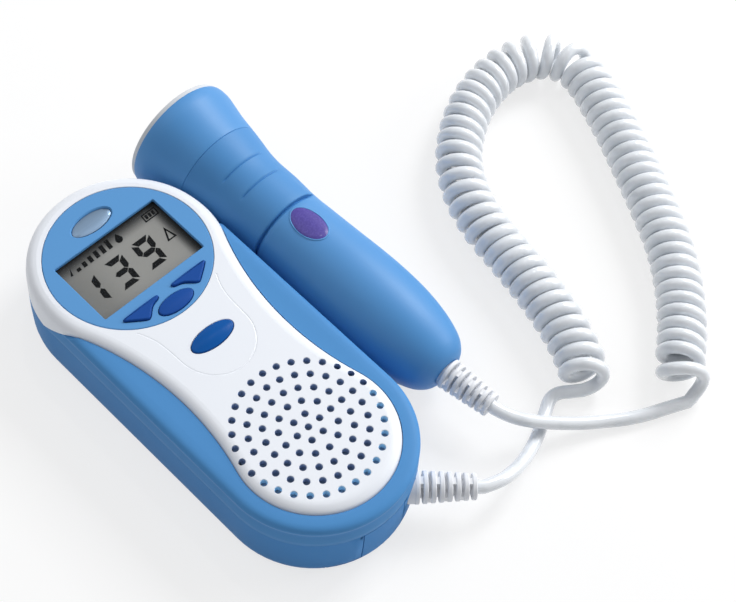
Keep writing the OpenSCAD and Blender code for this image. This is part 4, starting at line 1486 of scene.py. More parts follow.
@dataclass
class Display:
    """The round bezel with its window, glass, figures and bare plate."""

    edge: float = 0.22
    lap: float = 0.8
    corner: float = 0.35
    key_gap: float = 0.16
    digit_height: float = 8.6
    digit_width: float = 4.75
    stroke: float = 1.75
    slant: float = 0.12
    digits: tuple[tuple[int, float], ...] = ((1, -17.0), (3, -6.8), (9, 3.2))
    foot: float = 4.6
    bars: tuple[float, ...] = (1.1, 1.75, 2.2, 2.5, 2.8, 3.2)
    first_bar: float = -13.75
    bar_step: float = 2.28
    bar_half: float = 0.65
    sign_drop: float = 3.9
    wedge: tuple[Flat, ...] = ((-16.9, 0.2), (-16.1, 0.0), (-15.7, 2.4))
    drop: Flat = (1.1, 0.9)
    drop_radius: float = 1.15
    drop_height: float = 2.2
    cell: tuple[float, float, float, float] = (10.5, 15.5, 0.1, 2.9)
    cell_wall: float = 0.4
    charge_step: float = 1.2
    charge_width: float = 0.85
    triangle: tuple[tuple[Flat, ...], ...] = (
        ((12.0, -9.0), (12.6, -9.0), (13.9, -5.0), (13.6, -4.3)),
        ((14.7, -9.0), (15.3, -9.0), (13.6, -4.3), (13.5, -5.2)),
        ((12.5, -9.0), (14.9, -9.0), (14.7, -8.55), (12.7, -8.55)),
    )

    def opening(self) -> list[Flat]:
        """Outline of the window's opening, anticlockwise.

        Returns:
            The outline.
        """
        low, high = box_mm("display_window")
        lap, corner = self.lap, self.corner
        x, bottom, top = high.x - lap, low.y + lap, high.y - lap
        points = []
        for cx, cy, turn in ((x, top, 0), (-x, top, 90), (-x, bottom, 180), (x, bottom, 270)):
            inner = (cx - math.copysign(corner, cx), cy - corner if cy == top else cy + corner)
            points += arc(inner, corner, turn, turn + 90 + 90 / 6, 7)
        return points

    def bezel(self, keys: "Keypad") -> None:
        """The bezel, cut for the window, the keys and the plate.

        Args:
            keys: The keys whose holes it has.
        """
        low, high = box_mm("display_bezel")
        radius, at = (high.x - low.x) / 2, (0.0, (low.y + high.y) / 2)
        top, e = high.z, self.edge
        section = [(0, low.z), (radius, low.z), (radius, top - e), (radius - 0.3 * e, top - 0.4 * e),
                   (radius - e, top), (0, top)]
        disc = Shape().revolve(section, 160, at=at).piece("display_bezel_finished")
        carve(disc, Shape().prism(self.opening(), low.z - 1, top + 0.02, 0.2).piece("opening"))
        under, over = box_mm("display_window")
        x, y0, y1 = over.x + 0.2, under.y - 0.2, over.y + 0.2
        rebate = Shape().prism([(x, y1), (-x, y1), (-x, y0), (x, y0)], low.z - 1, low.z + 1)
        carve(disc, rebate.piece("rebate"))
        for outline in (keys.arrow(1), keys.arrow(-1), keys.oval("centre_key")):
            hole = Shape().prism(grown(outline, self.key_gap), low.z - 1, top + 0.02, 0.12)
            carve(disc, hole.piece("key_hole"))
        low, high = box_mm("logo_plate")
        oval = ellipse((0, (low.y + high.y) / 2), high.x + 0.1, (high.y - low.y) / 2 + 0.1, 96)
        carve(disc, Shape().prism(oval, low.z, top + 0.02, 0.4).piece("recess"))
        dress(smooth(disc, 28.0), "monitor", SKY_BLUE, "display_bezel")

    def plate(self) -> None:
        """The bare oval plate in its recess, slightly crowned."""
        low, high = box_mm("logo_plate")
        y, a, b = (low.y + high.y) / 2, high.x, (high.y - low.y) / 2
        shares = [(1.0, 0.0), (1.0, 0.25), (0.97, 0.38), (0.8, 0.52), (0.5, 0.62)]
        rings = [level(ellipse((0, y), a * s, b * s, 96), low.z + z) for s, z in shares]
        crown = Shape().loft([*rings, [(0, y, high.z)]])
        dress(smooth(crown.piece("plate_finished")), "monitor", PLATE, "logo_plate")

    def figures(self, floor: float, top: float) -> None:
        """Digits, level bars and small signs on the glass.

        Args:
            floor: Height of the glass.
            top: Height of the marks.
        """
        marks = Shape()

        def stamp(outline: Sequence[Flat]) -> None:
            """Adds one mark, leaning as the digits do."""
            leaned = [(x + self.slant * (y - base), y) for x, y in outline]
            marks.prism(leaned, floor, top)

        low, high = box_mm("display_window")
        base = low.y + self.lap + self.foot
        for digit, left in self.digits:
            for stroke in DIGITS[digit]:
                stamp(self.stroke_outline(stroke, left, base))
        row, half = high.y - self.lap - self.sign_drop, self.bar_half
        for i, rise in enumerate(self.bars):
            x = self.first_bar + self.bar_step * i
            stamp([(x - half, row), (x + half, row), (x + half, row + rise), (x - half, row + rise)])
        self.signs(stamp, row)
        dress(marks.piece("display_marks"), "monitor", INK)

    def stroke_outline(self, stroke: Segment, left: float, base: float) -> list[Flat]:
        """Outline of one stroke of a digit: mitred at the digit's corners, pointed in the middle.

        Args:
            stroke: The stroke.
            left: The digit's left middle line.
            base: The digit's foot.

        Returns:
            The outline.
        """
        half, gap = self.stroke / 2, 0.13
        (c0, r0), (c1, r1) = stroke.value
        a = Vector((left + c0 * self.digit_width, base + r0 * self.digit_height / 2 + half))
        b = Vector((left + c1 * self.digit_width, base + r1 * self.digit_height / 2 + half))
        middle = Vector((left + self.digit_width / 2, base + self.digit_height / 2 + half))
        along = (b - a).normalized()
        side = Vector((-along.y, along.x))
        out = side if side.dot((a + b) / 2 - middle) > 0 else -side
        sharp = {r0, r1} != {1}
        ends = []
        for point, way, row in ((a, -along, r0), (b, along, r1)):
            point = point - way * gap
            corner = sharp and row != 1
            ends.append([point + (out + way * (0.45 if corner else -1)) * half, point - (out + way) * half])
        pointed = [not sharp or row == 1 for row in (r0, r1)]
        first = [a + along * gap] if pointed[0] else []
        last = [b - along * gap] if pointed[1] else []
        return [tuple(p) for p in [ends[0][0], *first, ends[0][1], ends[1][1], *last, ends[1][0]]]

    def signs(self, stamp: Callable[[Sequence[Flat]], None], row: float) -> None:
        """A wedge, a drop, a cell with its charge and a small open triangle.

        Args:
            stamp: Adds one mark.
            row: Foot of the top row of signs.
        """

        def bar(left: float, right: float, low: float, high: float) -> None:
            """Adds an upright rectangle."""
            stamp([(left, low), (right, low), (right, high), (left, high)])

        stamp([(x, row + y) for x, y in self.wedge])
        x, y = self.drop[0], row + self.drop[1]
        stamp([(x, y + self.drop_height), *arc((x, y), self.drop_radius, 150, 390, 16)])
        left, right, low, top = self.cell
        low, top, thin = row + low, row + top, self.cell_wall
        bar(left, right, low, low + thin)
        bar(left, right, top - thin, top)
        bar(left, left + thin, low, top)
        bar(right - thin, right, low, top)
        for i in range(3):
            x = left + 2 * thin + self.charge_step * i
            bar(x, x + self.charge_width, low + 0.65, top - 0.65)
        for outline in self.triangle:
            stamp([(x, row + y) for x, y in outline])

    def build(self, keys: "Keypad") -> None:
        """Builds the display.

        Args:
            keys: The keys that the bezel leaves room for.
        """
        self.bezel(keys)
        self.plate()
        low, high = box_mm("display_window")
        _, glass_high = box_mm("lcd_panel")
        dress(polished("lcd_panel"), "monitor", GLASS, "lcd_panel")
        self.figures(glass_high.z - 0.01, min(glass_high.z + 0.05, low.z - 0.02))
        pane = []
        for inset, z in ((0, low.z), (0, high.z - 0.12), (0.12, high.z)):
            x, y0, y1 = high.x - inset, low.y + inset, high.y - inset
            pane.append(level([(x, y1), (-x, y1), (-x, y0), (x, y0)], z))
        window = smooth(Shape().loft(pane).piece("display_window_finished"))
        dress(window, "monitor", WINDOW, "display_window")


@dataclass
class Keypad:
    """The four keys: two arrows, the centre key and the power key."""

    flange: float = 0.5
    flange_foot: float = 22.6
    flange_thickness: float = 1.0
    round_edge: float = 0.42
    stem_radius: float = 1.5
    arrow_stem: Flat = (9.6, 2.0)
    shape: tuple[Flat, ...] = (
        (3.0, 0.0), (2.5, -0.4), (2.6, -0.9), (3.4, -1.35), (4.6, -1.6), (5.8, -2.1), (6.9, -3.0),
        (7.8, -3.9), (8.6, -4.5), (9.2, -4.65), (9.8, -4.4), (14.6, -0.9), (14.8, -0.4), (14.4, 0.0),
    )

    def arrow(self, side: int) -> list[Flat]:
        """Outline of an arrow key, anticlockwise.

        Args:
            side: 1 for the right one, -1 for the left one.

        Returns:
            The outline.
        """
        _, high = box_mm("right_key")
        top = high.y - self.flange
        points = rounded([(x, y + top) for x, y in self.shape], 3)
        return points if side > 0 else [(-x, y) for x, y in reversed(points)]

    def oval(self, node: str) -> list[Flat]:
        """Outline of an oval key, anticlockwise.

        Args:
            node: The node that it follows.

        Returns:
            The outline.
        """
        low, high = box_mm(node)
        a, b = high.x - self.flange, (high.y - low.y) / 2 - self.flange
        return ellipse((0, (low.y + high.y) / 2), a, b, 96)

    def cap(self, node: str, outline: list[Flat], dome: float) -> Shape:
        """A key: flange, sides, a rounded edge and a crowned top.

        Args:
            node: The node that it follows.
            outline: Outline of the cap.
            dome: How far the top's middle rises above its edge.

        Returns:
            The key's shape.
        """
        low, high = box_mm(node)
        foot, collar = self.flange_foot, self.flange_foot + self.flange_thickness
        e, rim = self.round_edge, high.z - dome
        rings = [level(grown(outline, self.flange), z) for z in (foot, collar)]
        rings += [level(outline, collar), level(outline, rim - e)]
        for turn in (22.5, 45.0, 67.5, 90.0):
            a = math.radians(turn)
            rings.append(level(grown(outline, -e * (1 - math.cos(a))), rim - e + e * math.sin(a)))
        middle = np.mean(np.array(outline), axis=0)
        if dome > 0:
            edge = np.array(grown(outline, -e))
            for share in (0.85, 0.65, 0.42, 0.2):
                points = middle + (edge - middle) * share
                rings.append([(x, y, rim + dome * (1 - share**2)) for x, y in points])
            rings.append([(middle[0], middle[1], high.z)])
        r = self.stem_radius
        stem = [(0, foot + 0.1), (r, foot + 0.1), (r, low.z + 0.2), (r - 0.2, low.z), (0, low.z)]
        return Shape().loft(rings).revolve(stem, 32, at=self.stem(node, middle))

    def stem(self, node: str, middle: Sequence[float]) -> Flat:
        """Place of a key's stem, over its switch.

        Args:
            node: The node of the key.
            middle: Middle of the key's cap.

        Returns:
            The place.
        """
        side = {"right_key": 1, "left_key": -1}.get(node, 0)
        (_, high), (x, below) = box_mm("right_key"), self.arrow_stem
        return (side * x, high.y - self.flange - below) if side else (middle[0], middle[1])

    def build(self) -> None:
        """Builds the four keys."""
        ways = {
            "left_key": (self.arrow(-1), 0.0, "left_button", KEY_BLUE),
            "right_key": (self.arrow(1), 0.0, "right_button", KEY_BLUE),
            "centre_key": (self.oval("centre_key"), 0.35, "centre_button", KEY_BLUE),
            "power_key": (self.oval("power_key"), 0.75, "power_button", POWER_BLUE),
        }
        for node, (outline, dome, body, finish) in ways.items():
            cap = self.cap(node, outline, dome).piece(node + "_finished")
            dress(smooth(cap, 40.0), body, finish, node)


# ---- Strain reliefs ----


@dataclass
class StrainRelief:
    """A tapering row of rings joined by webs, on a core that carries the cord."""

    length: float
    place: Matrix
    root: float = 0.0
    root_radius: float = 4.6
    rings: int = 8
    base_radius: float = 4.7
    tip_radius: float = 3.7
    core_radius: float = 1.95

    def build(self, node: str, body: str) -> None:
        """Builds the relief.

        Args:
            node: The node that it replaces.
            body: The body that it rides on.
        """
        step = self.length / (self.rings - 0.4)
        thick, soft = 0.6 * step, 0.22
        bore, edge = self.core_radius * 0.5 / self.base_radius, 1 - soft / 4
        ring = [(bore, 0), (edge, 0), (1, soft), (1, thick - soft), (edge, thick), (bore, thick)]
        ring_form = Shape().revolve(ring, 48, looped=True).piece("ring")
        reach, half = 0.93, 0.25
        web = [(reach, half), (-reach, half), (-reach, -half), (reach, -half)]
        web_form = Shape().prism(web, thick * 0.5, step + thick * 0.4).piece("web")
        for form in (ring_form, web_form):
            form.data.transform(Matrix.Diagonal((1 / MM, 1 / MM, 1, 1)))
        r, root, end = self.core_radius + 0.12, self.root_radius, self.length + 0.05
        core = [(0, -self.root), (root, -self.root), (root, 0.1), (r, 0.1)]
        core += [(r, self.length - 0.1), (r - 0.3, end), (0, end)]
        made = Shape().revolve(core, 48).piece(node + "_finished")
        values = {"Ring": ring_form, "Web": web_form, "Count": self.rings, "Step": step * MM}
        radii = {"Root Radius": self.base_radius * MM, "Tip Radius": self.tip_radius * MM}
        ribbing().run(made, {**values, **radii, "Material": RELIEF_WHITE.material()})
        for form in (ring_form, web_form):
            bpy.data.objects.remove(form)
        made.data.transform(Matrix.Scale(MM, 4) @ self.place @ Matrix.Scale(1 / MM, 4))
        dress(smooth(made, 40.0), body, RELIEF_WHITE, node)


# ---- Probe ----


@dataclass
class Probe:
    """The ultrasound probe: barrel, grip, flared head, face and badge."""

    length: float = 110.4
    head_radius: float = 18.2
    belly_radius: float = 14.3
    wall: float = 1.8
    gap: float = 1.9
    yaw: float = 1.7
    belly: float = 30.0
    step: float = 63.8
    seam: float = 92.4
    head: float = 106.8
    face_radius: float = 16.0
    groove_places: Flat = (75.3, 82.9)
    groove_half_turn: float = 35.0
    groove_depth: float = 0.42
    step_fades: tuple[float, ...] = (36.0, 54.0, 92.0, 110.0)
    badge: tuple[float, float, float] = (55.5, 6.8, 4.3)
    relief_lean: float = 5.5
    relief_lift: float = 0.45
    relief_length: float = 15.5
    relief_root: float = 3.5
    relief_root_radius: float = 3.9
    steps: int = 144

    @property
    def tilt(self) -> float:
        """Rise of the axis, in degrees: it lies on the belly and the head."""
        return math.degrees(math.atan((self.head_radius - self.belly_radius) / (self.head - self.belly)))

    @property
    def origin(self) -> Vector:
        """Middle of the cord end.

        Returns:
            The place.
        """
        form, tilt = CaseForm(), math.radians(self.tilt)
        x = form.end_radius + self.gap + self.belly_radius + self.belly * math.sin(math.radians(self.yaw))
        z = self.belly_radius * math.cos(tilt) - self.belly * math.sin(tilt) + 0.12
        return Vector((x, -form.end_y - 5.8, z))

    @property
    def place(self) -> Matrix:
        """From the probe's own frame, +Z from the cord end to the face and +Y up, to the part's.

        Returns:
            The matrix.
        """
        yaw = Matrix.Rotation(math.radians(self.yaw), 4, "Z")
        turn = yaw @ Matrix.Rotation(math.radians(self.tilt - 90), 4, "X")
        return Matrix.Translation(self.origin) @ turn @ Matrix.Rotation(math.pi, 4, "Z")

    @property
    def relief_axis(self) -> Vector:
        """Way that the strain relief leans, towards the coil."""
        turn, tilt = math.radians(self.relief_lean + self.yaw), math.radians(self.tilt)
        return Vector((math.sin(turn) * math.cos(tilt), -math.cos(turn) * math.cos(tilt), -math.sin(tilt)))

    @property
    def relief_tip(self) -> Vector:
        """Where the cord leaves the strain relief."""
        return self.origin + (self.relief_lift + self.relief_length) * self.relief_axis

    def barrel_profile(self) -> list[Flat]:
        """Outside of the barrel: (distance from the cord end, radius).

        Returns:
            Points of the profile.
        """
        r = self.belly_radius
        body = [(0.0, 5.3), (0.8, 6.9), (2, 8.3), (4, 9.8), (7, 11.1), (11, 12.3), (16, 13.3), (22, 14)]
        body += [(self.belly, r), (38, r - 0.15), (48, r - 0.65), (58, r - 1.1), (61.8, r - 1.3)]
        curve = [tuple(row) for row in spline(body, 4)]
        return curve + [(62.8, r - 1.5), (self.step - 0.5, r - 2.05), (self.step, r - 2.3)]

    def grip_profile(self) -> list[Flat]:
        """Outside of the grip.

        Returns:
            Points of the profile.
        """
        r = self.belly_radius
        start = [(self.step, r - 1.2), (self.step + 0.15, r - 0.95), (self.step + 0.5, r - 0.78)]
        body = [(66, r - 0.8), (70, r - 0.85), (76, r - 0.95), (80, r - 0.9)]
        body += [(84, r - 0.45), (88, r + 0.35), (92.0, r + 1.12)]
        curve = [tuple(row) for row in spline(body, 5)]
        us, rs = zip(*curve)
        marks = [u + d for u in self.groove_places for d in (-0.45, -0.15, 0.0, 0.15, 0.45)]
        cuts = [(u, float(np.interp(u, us, rs))) for u in marks]
        kept = [p for p in curve if all(abs(p[0] - u) > 0.5 for u in self.groove_places)]
        return start + sorted(kept + cuts) + [(self.seam - 0.12, r + 1.12), (self.seam, r + 0.95)]

    def head_profile(self) -> list[Flat]:
        """Outside of the head.

        Returns:
            Points of the profile.
        """
        r, h = self.belly_radius, self.head_radius
        start = [(self.seam, r + 0.95), (self.seam + 0.12, r + 1.14)]
        body = [(93.2, r + 1.32), (98, h - 1.8), (102, h - 0.85), (105, h - 0.15), (self.head, h)]
        end = [(self.head + 1.3, h - 0.04), (self.length - 1.5, h - 0.2), (self.length - 1.2, h - 0.5)]
        return start + [tuple(row) for row in spline(body + end, 4)]

    def groove(self, u: float, turn: float) -> float:
        """Depth of the grip's two grooves.

        Args:
            u: Distance from the cord end.
            turn: Angle from the top, in degrees.

        Returns:
            The depth.
        """
        near = max(0.0, 1 - min(abs(u - g) for g in self.groove_places) / 0.4)
        ends = min(1.0, max(0.0, (self.groove_half_turn - abs(turn)) / 4))
        return self.groove_depth * near * ends

    def step_share(self, turn: float) -> float:
        """Share of the grip's step that is left at an angle in degrees from the top."""
        return float(np.interp(turn, self.step_fades, [1, 0, 0, 1]))

    def near_step(self, u: float, r: float, turn: float) -> float:
        """Radius near the grip's step, where it is levelled out on the outer side.

        Args:
            u: Distance from the cord end.
            r: Radius of the profile.
            turn: Angle from the top, in degrees.

        Returns:
            The radius.
        """
        flush = self.belly_radius - 1.3
        share = float(np.interp(u - self.step, [-2, -1, 2, 9], [0, 1, 1, 0]))
        return r + (flush - r) * share * (1 - self.step_share(turn))

    def shell(self, name: str, profile: list[Flat], hollow_to: float | None = None) -> bpy.types.Object:
        """A turned shell with a wall.

        Args:
            name: Name of the piece.
            profile: Its outside.
            hollow_to: Inside radius at its last stretch, where that isn't one wall further in.

        Returns:
            The piece, in place.
        """
        last_u, last_r = profile[-1]
        inner = [(u, max(3.5, r - self.wall)) for u, r in profile[::4]]
        inner[-1] = (last_u, last_r - self.wall)
        if hollow_to:
            inner = [(u, r) for u, r in inner if u < self.length - 3.5]
            inner += [(self.length - 2.6, hollow_to), (last_u, hollow_to)]
        rings = []
        for k, (u, r) in enumerate(profile + inner[::-1]):
            ring = []
            for i in range(self.steps):
                a, radius = math.tau * i / self.steps, r
                if k < len(profile):
                    turn = (math.degrees(a) - 90 + 180) % 360 - 180
                    radius = self.near_step(u, r, turn)
                    radius -= self.groove(u, turn) if name.startswith("probe_grip") else 0.0
                ring.append((radius * math.cos(a), radius * math.sin(a), u))
            rings.append(ring)
        return Shape().loft(rings, looped=True).piece(name, self.place)

    def surface(self, u: float, across: float) -> float:
        """Height of the barrel's outside above the axis, a step to the side of it.

        Args:
            u: Distance from the cord end.
            across: The step across.

        Returns:
            The height.
        """
        us, rs = zip(*self.barrel_profile())
        radius = float(np.interp(u, us, rs))
        return math.sqrt(max(0.0, radius**2 - across**2))

    def oval_patch(self, a: float, b: float, lift: Sequence[Flat], hole: float = 0.0) -> Shape:
        """An oval that follows the barrel's surface.

        Args:
            a: Half length along the probe.
            b: Half width across it.
            lift: Height over the surface by share of the way from the edge to the middle.
            hole: Share of the oval that is left out in the middle.

        Returns:
            The shape, in the probe's own frame.
        """
        centre, sunk = self.badge[0], -0.5
        rings = []
        ends = [(1.0, sunk), *[(1 - share * (1 - hole), height) for share, height in lift]]
        if hole:
            ends.append((hole, sunk))
        for share, height in ends:
            ring = []
            for x, along in ellipse((0, 0), b * share, a * share):
                u = centre + along
                ring.append((x, self.surface(u, x) + height, u))
            rings.append(ring)
        if not hole:
            rings.append([(0.0, self.surface(centre, 0) + lift[-1][1], centre)])
        return Shape().loft(rings, looped=bool(hole))

    def face(self) -> bpy.types.Object:
        """The grey disc in the head, slightly domed, with a lip over the head's end.

        Returns:
            The disc, in place.
        """
        u, r = self.length, self.face_radius
        lip, low = self.head_radius - 0.55, u - 1.2
        profile = [(0, u - 2.3), (r, u - 2.3), (r, low), (lip, low), (lip, u - 0.1), (lip - 0.2, u + 0.12)]
        profile += [(r, u + 0.28), (r - 4, u + 0.42), (6, u + 0.55), (0, u + 0.6)]
        return Shape().revolve(profile, 128).piece("transducer_face_finished", self.place)

    def build(self) -> None:
        """Builds the probe."""
        barrel = self.shell("probe_barrel_finished", self.barrel_profile())
        dress(smooth(barrel), "probe", PROBE_BLUE, "probe_barrel")
        grip = self.shell("probe_grip_finished", self.grip_profile())
        dress(smooth(grip, 40.0), "probe", GRIP_BLUE, "probe_grip")
        head = self.shell("probe_head_finished", self.head_profile(), self.face_radius + 0.08)
        dress(smooth(head), "probe", PROBE_BLUE, "probe_head")
        dress(smooth(self.face()), "probe", FACE_GREY, "transducer_face")
        _, a, b = self.badge
        dome = [(0.0, 0.1), (0.06, 0.2), (0.2, 0.27), (0.5, 0.32), (0.8, 0.34)]
        inlay = self.oval_patch(a - 0.3, b - 0.3, dome).piece("probe_badge_finished", self.place)
        dress(smooth(inlay, 50.0), "probe", BADGE, "probe_badge")
        band = [(0.0, 0.02), (0.3, 0.22), (0.7, 0.22), (1.0, 0.05)]
        rim = self.oval_patch(a + 0.15, b + 0.15, band, hole=0.9).piece("probe_badge_rim", self.place)
        dress(smooth(rim, 60.0), "probe", SKY_BLUE)
        lean = Matrix.Rotation(math.radians(self.relief_lean), 4, "Y") @ Matrix.Rotation(math.pi, 4, "X")
        place = self.place @ lean @ Matrix.Translation((0, 0, self.relief_lift))
        relief = StrainRelief(self.relief_length, place, self.relief_root, self.relief_root_radius)
        relief.build("probe_strain_relief", "probe")


# ---- Cord ----

# Middle line of the coil on the table, from the monitor's end to the probe's end, in metres.
COIL_ROUTE = [
    (0.0755, -0.0710), (0.0795, -0.0650), (0.0840, -0.0545), (0.0880, -0.0400), (0.0905, -0.0270),
    (0.0925, -0.0155), (0.0960, -0.0050), (0.1020, 0.0050), (0.1100, 0.0125), (0.1200, 0.0185),
    (0.1310, 0.0220), (0.1420, 0.0225), (0.1520, 0.0190), (0.1575, 0.0110), (0.1565, 0.0015),
    (0.1530, -0.0080), (0.1480, -0.0195), (0.1415, -0.0325), (0.1350, -0.0450), (0.1280, -0.0570),
    (0.1195, -0.0680), (0.1095, -0.0780), (0.0985, -0.0870), (0.0950, -0.0940),
]
# Leads between their straight ends, in metres.
MONITOR_LEAD = [
    (0.0326, -0.0770, 0.0103), (0.0362, -0.0773, 0.0091), (0.0418, -0.0767, 0.0069),
    (0.0484, -0.0750, 0.0046), (0.0552, -0.0723, 0.0026), (0.0614, -0.0691, 0.0020),
    (0.0662, -0.0667, 0.0020),
]
PROBE_LEAD = [
    (0.0498, -0.0654, 0.0108), (0.0524, -0.0684, 0.0094), (0.0562, -0.0716, 0.0076),
    (0.0610, -0.0751, 0.0058), (0.0666, -0.0788, 0.0039), (0.0723, -0.0822, 0.0025),
    (0.0780, -0.0859, 0.0020), (0.0835, -0.0889, 0.0020),
]


@dataclass
class CurlyCord:
    """The white cord: a lead from the monitor, the coil, and a lead to the probe. Sizes in metres."""

    monitor_tip: Vector
    monitor_axis: Vector
    probe_tip: Vector
    probe_axis: Vector
    diameter: float = 0.0039
    curl_radius: float = 0.0054
    curls: int = 58
    rings_per_curl: int = 24
    sides: int = 18
    lay: float = 0.0074
    straight: float = 0.0036
    tight_pitch: float = 0.0041
    loose_pitch: float = 0.0044
    loose_over: float = 0.120
    pulled_over: float = 0.008
    pull: float = 1.2

    def helix(self) -> tuple[np.ndarray, Vector, Vector]:
        """Points of the coil, and the ways in which it starts and ends.

        Returns:
            The points, and the two ways.
        """
        line = spline(COIL_ROUTE, 16)
        n = len(line)
        ends = np.minimum(np.arange(n) + 1, n - 1), np.maximum(np.arange(n) - 1, 0)
        along = line[ends[0]] - line[ends[1]]
        along /= np.linalg.norm(along, axis=1)[:, None]
        run = np.r_[0.0, np.cumsum(np.linalg.norm(np.diff(line, axis=0), axis=1))]
        bend = np.zeros(n)
        bend[1:-1] = np.linalg.norm(along[2:] - along[:-2], axis=1) / (run[2:] - run[:-2])
        tighter = (self.tight_pitch - self.loose_pitch) * np.minimum(1, run / self.loose_over)
        pitch = self.loose_pitch + tighter
        pitch *= 1 + self.pull * np.maximum(0, 1 - (run[-1] - run) / self.pulled_over)
        pitch /= np.maximum(0.3, 1 - self.curl_radius * bend)
        turns = np.r_[0.0, np.cumsum(np.diff(run) / pitch[1:])]
        turns *= self.curls / turns[-1]
        w = np.arange(self.curls * self.rings_per_curl + 1) / self.rings_per_curl
        x, y, dx, dy = (np.interp(w, turns, v) for v in (line[:, 0], line[:, 1], along[:, 0], along[:, 1]))
        size = np.hypot(dx, dy)
        angle = np.radians(-90 + 360 * w)
        out = self.curl_radius * np.cos(angle)
        points = np.c_[x + out * dy / size, y - out * dx / size, self.lay + self.curl_radius * np.sin(angle)]
        start, end = (Vector((along[i][1], -along[i][0], 0)) for i in (0, -1))
        return points, start, end

    def tube(self, name: str, path: list[Vector]) -> bpy.types.Object:
        """A round tube along a path, whose rings turn as little as they can.

        Args:
            name: Name of the piece.
            path: Middle of each ring, in metres.

        Returns:
            The tube.
        """
        n = len(path)
        normal, rings = Vector((0, 0, 1)), []
        for i, point in enumerate(path):
            along = (path[min(i + 1, n - 1)] - path[max(i - 1, 0)]).normalized()
            normal = (normal - along * normal.dot(along)).normalized()
            side = along.cross(normal)
            turns = [math.tau * k / self.sides for k in range(self.sides)]
            reach = self.diameter / 2
            rings.append([(point + reach * (math.cos(a) * normal + math.sin(a) * side)) / MM for a in turns])
        return Shape().loft(rings).piece(name)

    @staticmethod
    def length(path: list[Vector]) -> float:
        """Length of a path."""
        return sum((b - a).length for a, b in zip(path, path[1:]))

    def lead(
        self, tip: Vector, first: Vector, points: Sequence[Point], end: Vector, way: Vector
    ) -> list[Vector]:
        """Middle line of a lead, from a strain relief to an end of the coil.

        Args:
            tip: Where it leaves the strain relief.
            first: Next point, which sets its way there.
            points: Points between.
            end: Where the coil takes over.
            way: The way out of the coil there.

        Returns:
            Points of the line.
        """
        line = [tip, first, *map(Vector, points), end + self.straight * way, end]
        return [Vector(p) for p in spline(line, 6)]

    def declare(self, obj: bpy.types.Object, path: list[Vector]) -> None:
        """Logs the length of a cord piece.

        Args:
            obj: The piece.
            path: Its middle line.
        """
        tuple(path[0])
        self.length(path)
        [tuple(p) for p in path]
        LOG.info("%s: %.3f m long", obj.name, self.length(path))

    def build(self) -> None:
        helix, start, end = self.helix()
        coil_start = Vector(helix[0]) - self.straight * start
        coil_end = Vector(helix[-1]) + self.straight * end
        first = self.monitor_tip + 0.6 * self.straight * self.monitor_axis
        path = self.lead(self.monitor_tip, first, MONITOR_LEAD, coil_start, -start)
        path += [Vector(p) for p in helix] + [coil_end]
        main = self.tube("curly_cord_finished", path)
        dress(smooth(main, 60.0), "monitor", CORD_WHITE, "monitor_lead", "curly_cord")
        self.declare(main, path)
        first = self.probe_tip + 0.5 * self.straight * self.probe_axis
        path = self.lead(self.probe_tip, first, PROBE_LEAD, coil_end, end)
        tail = smooth(self.tube("probe_lead_finished", path), 60.0)
        tail.data.materials.append(CORD_WHITE.material())
        tuple(path[-1])
        tuple(path[0])
        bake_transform(tail)
        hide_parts("probe_lead")
        self.declare(tail, path)


# ---- Inner parts ----


@dataclass
class InnerParts:
    """Finishes of the pieces inside that keep their construction solids."""

    finishes: dict[str, Finish] = field(default_factory=lambda: {
        "lcd_backlight": GUIDE, "lcd_strips": RUBBER, "main_board": BOARD, "key_switches": DARK,
        "board_parts": DARK, "speaker_frame": BASKET, "speaker_cone": CONE, "speaker_magnet": MAGNET,
        "battery_contacts": CONTACT, "crystal_pair": CERAMIC, "crystal_backing": DARK, "probe_board": BOARD,
    })

    def build(self) -> None:
        """Dresses each solid where it lies."""
        low, high = box_mm("battery_cells")
        wrap = CellWrap("cell_wrap", "cell_jacket", "#c9a45a", 0.35, from_y=low.y, to_y=high.y)
        for node, finish in {**self.finishes, "battery_cells": wrap}.items():
            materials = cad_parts[node].data.materials
            materials.clear()
            materials.append(finish.material())
            LOG.info("%s: finish %s", node, finish.name)


# ---- Studio ----


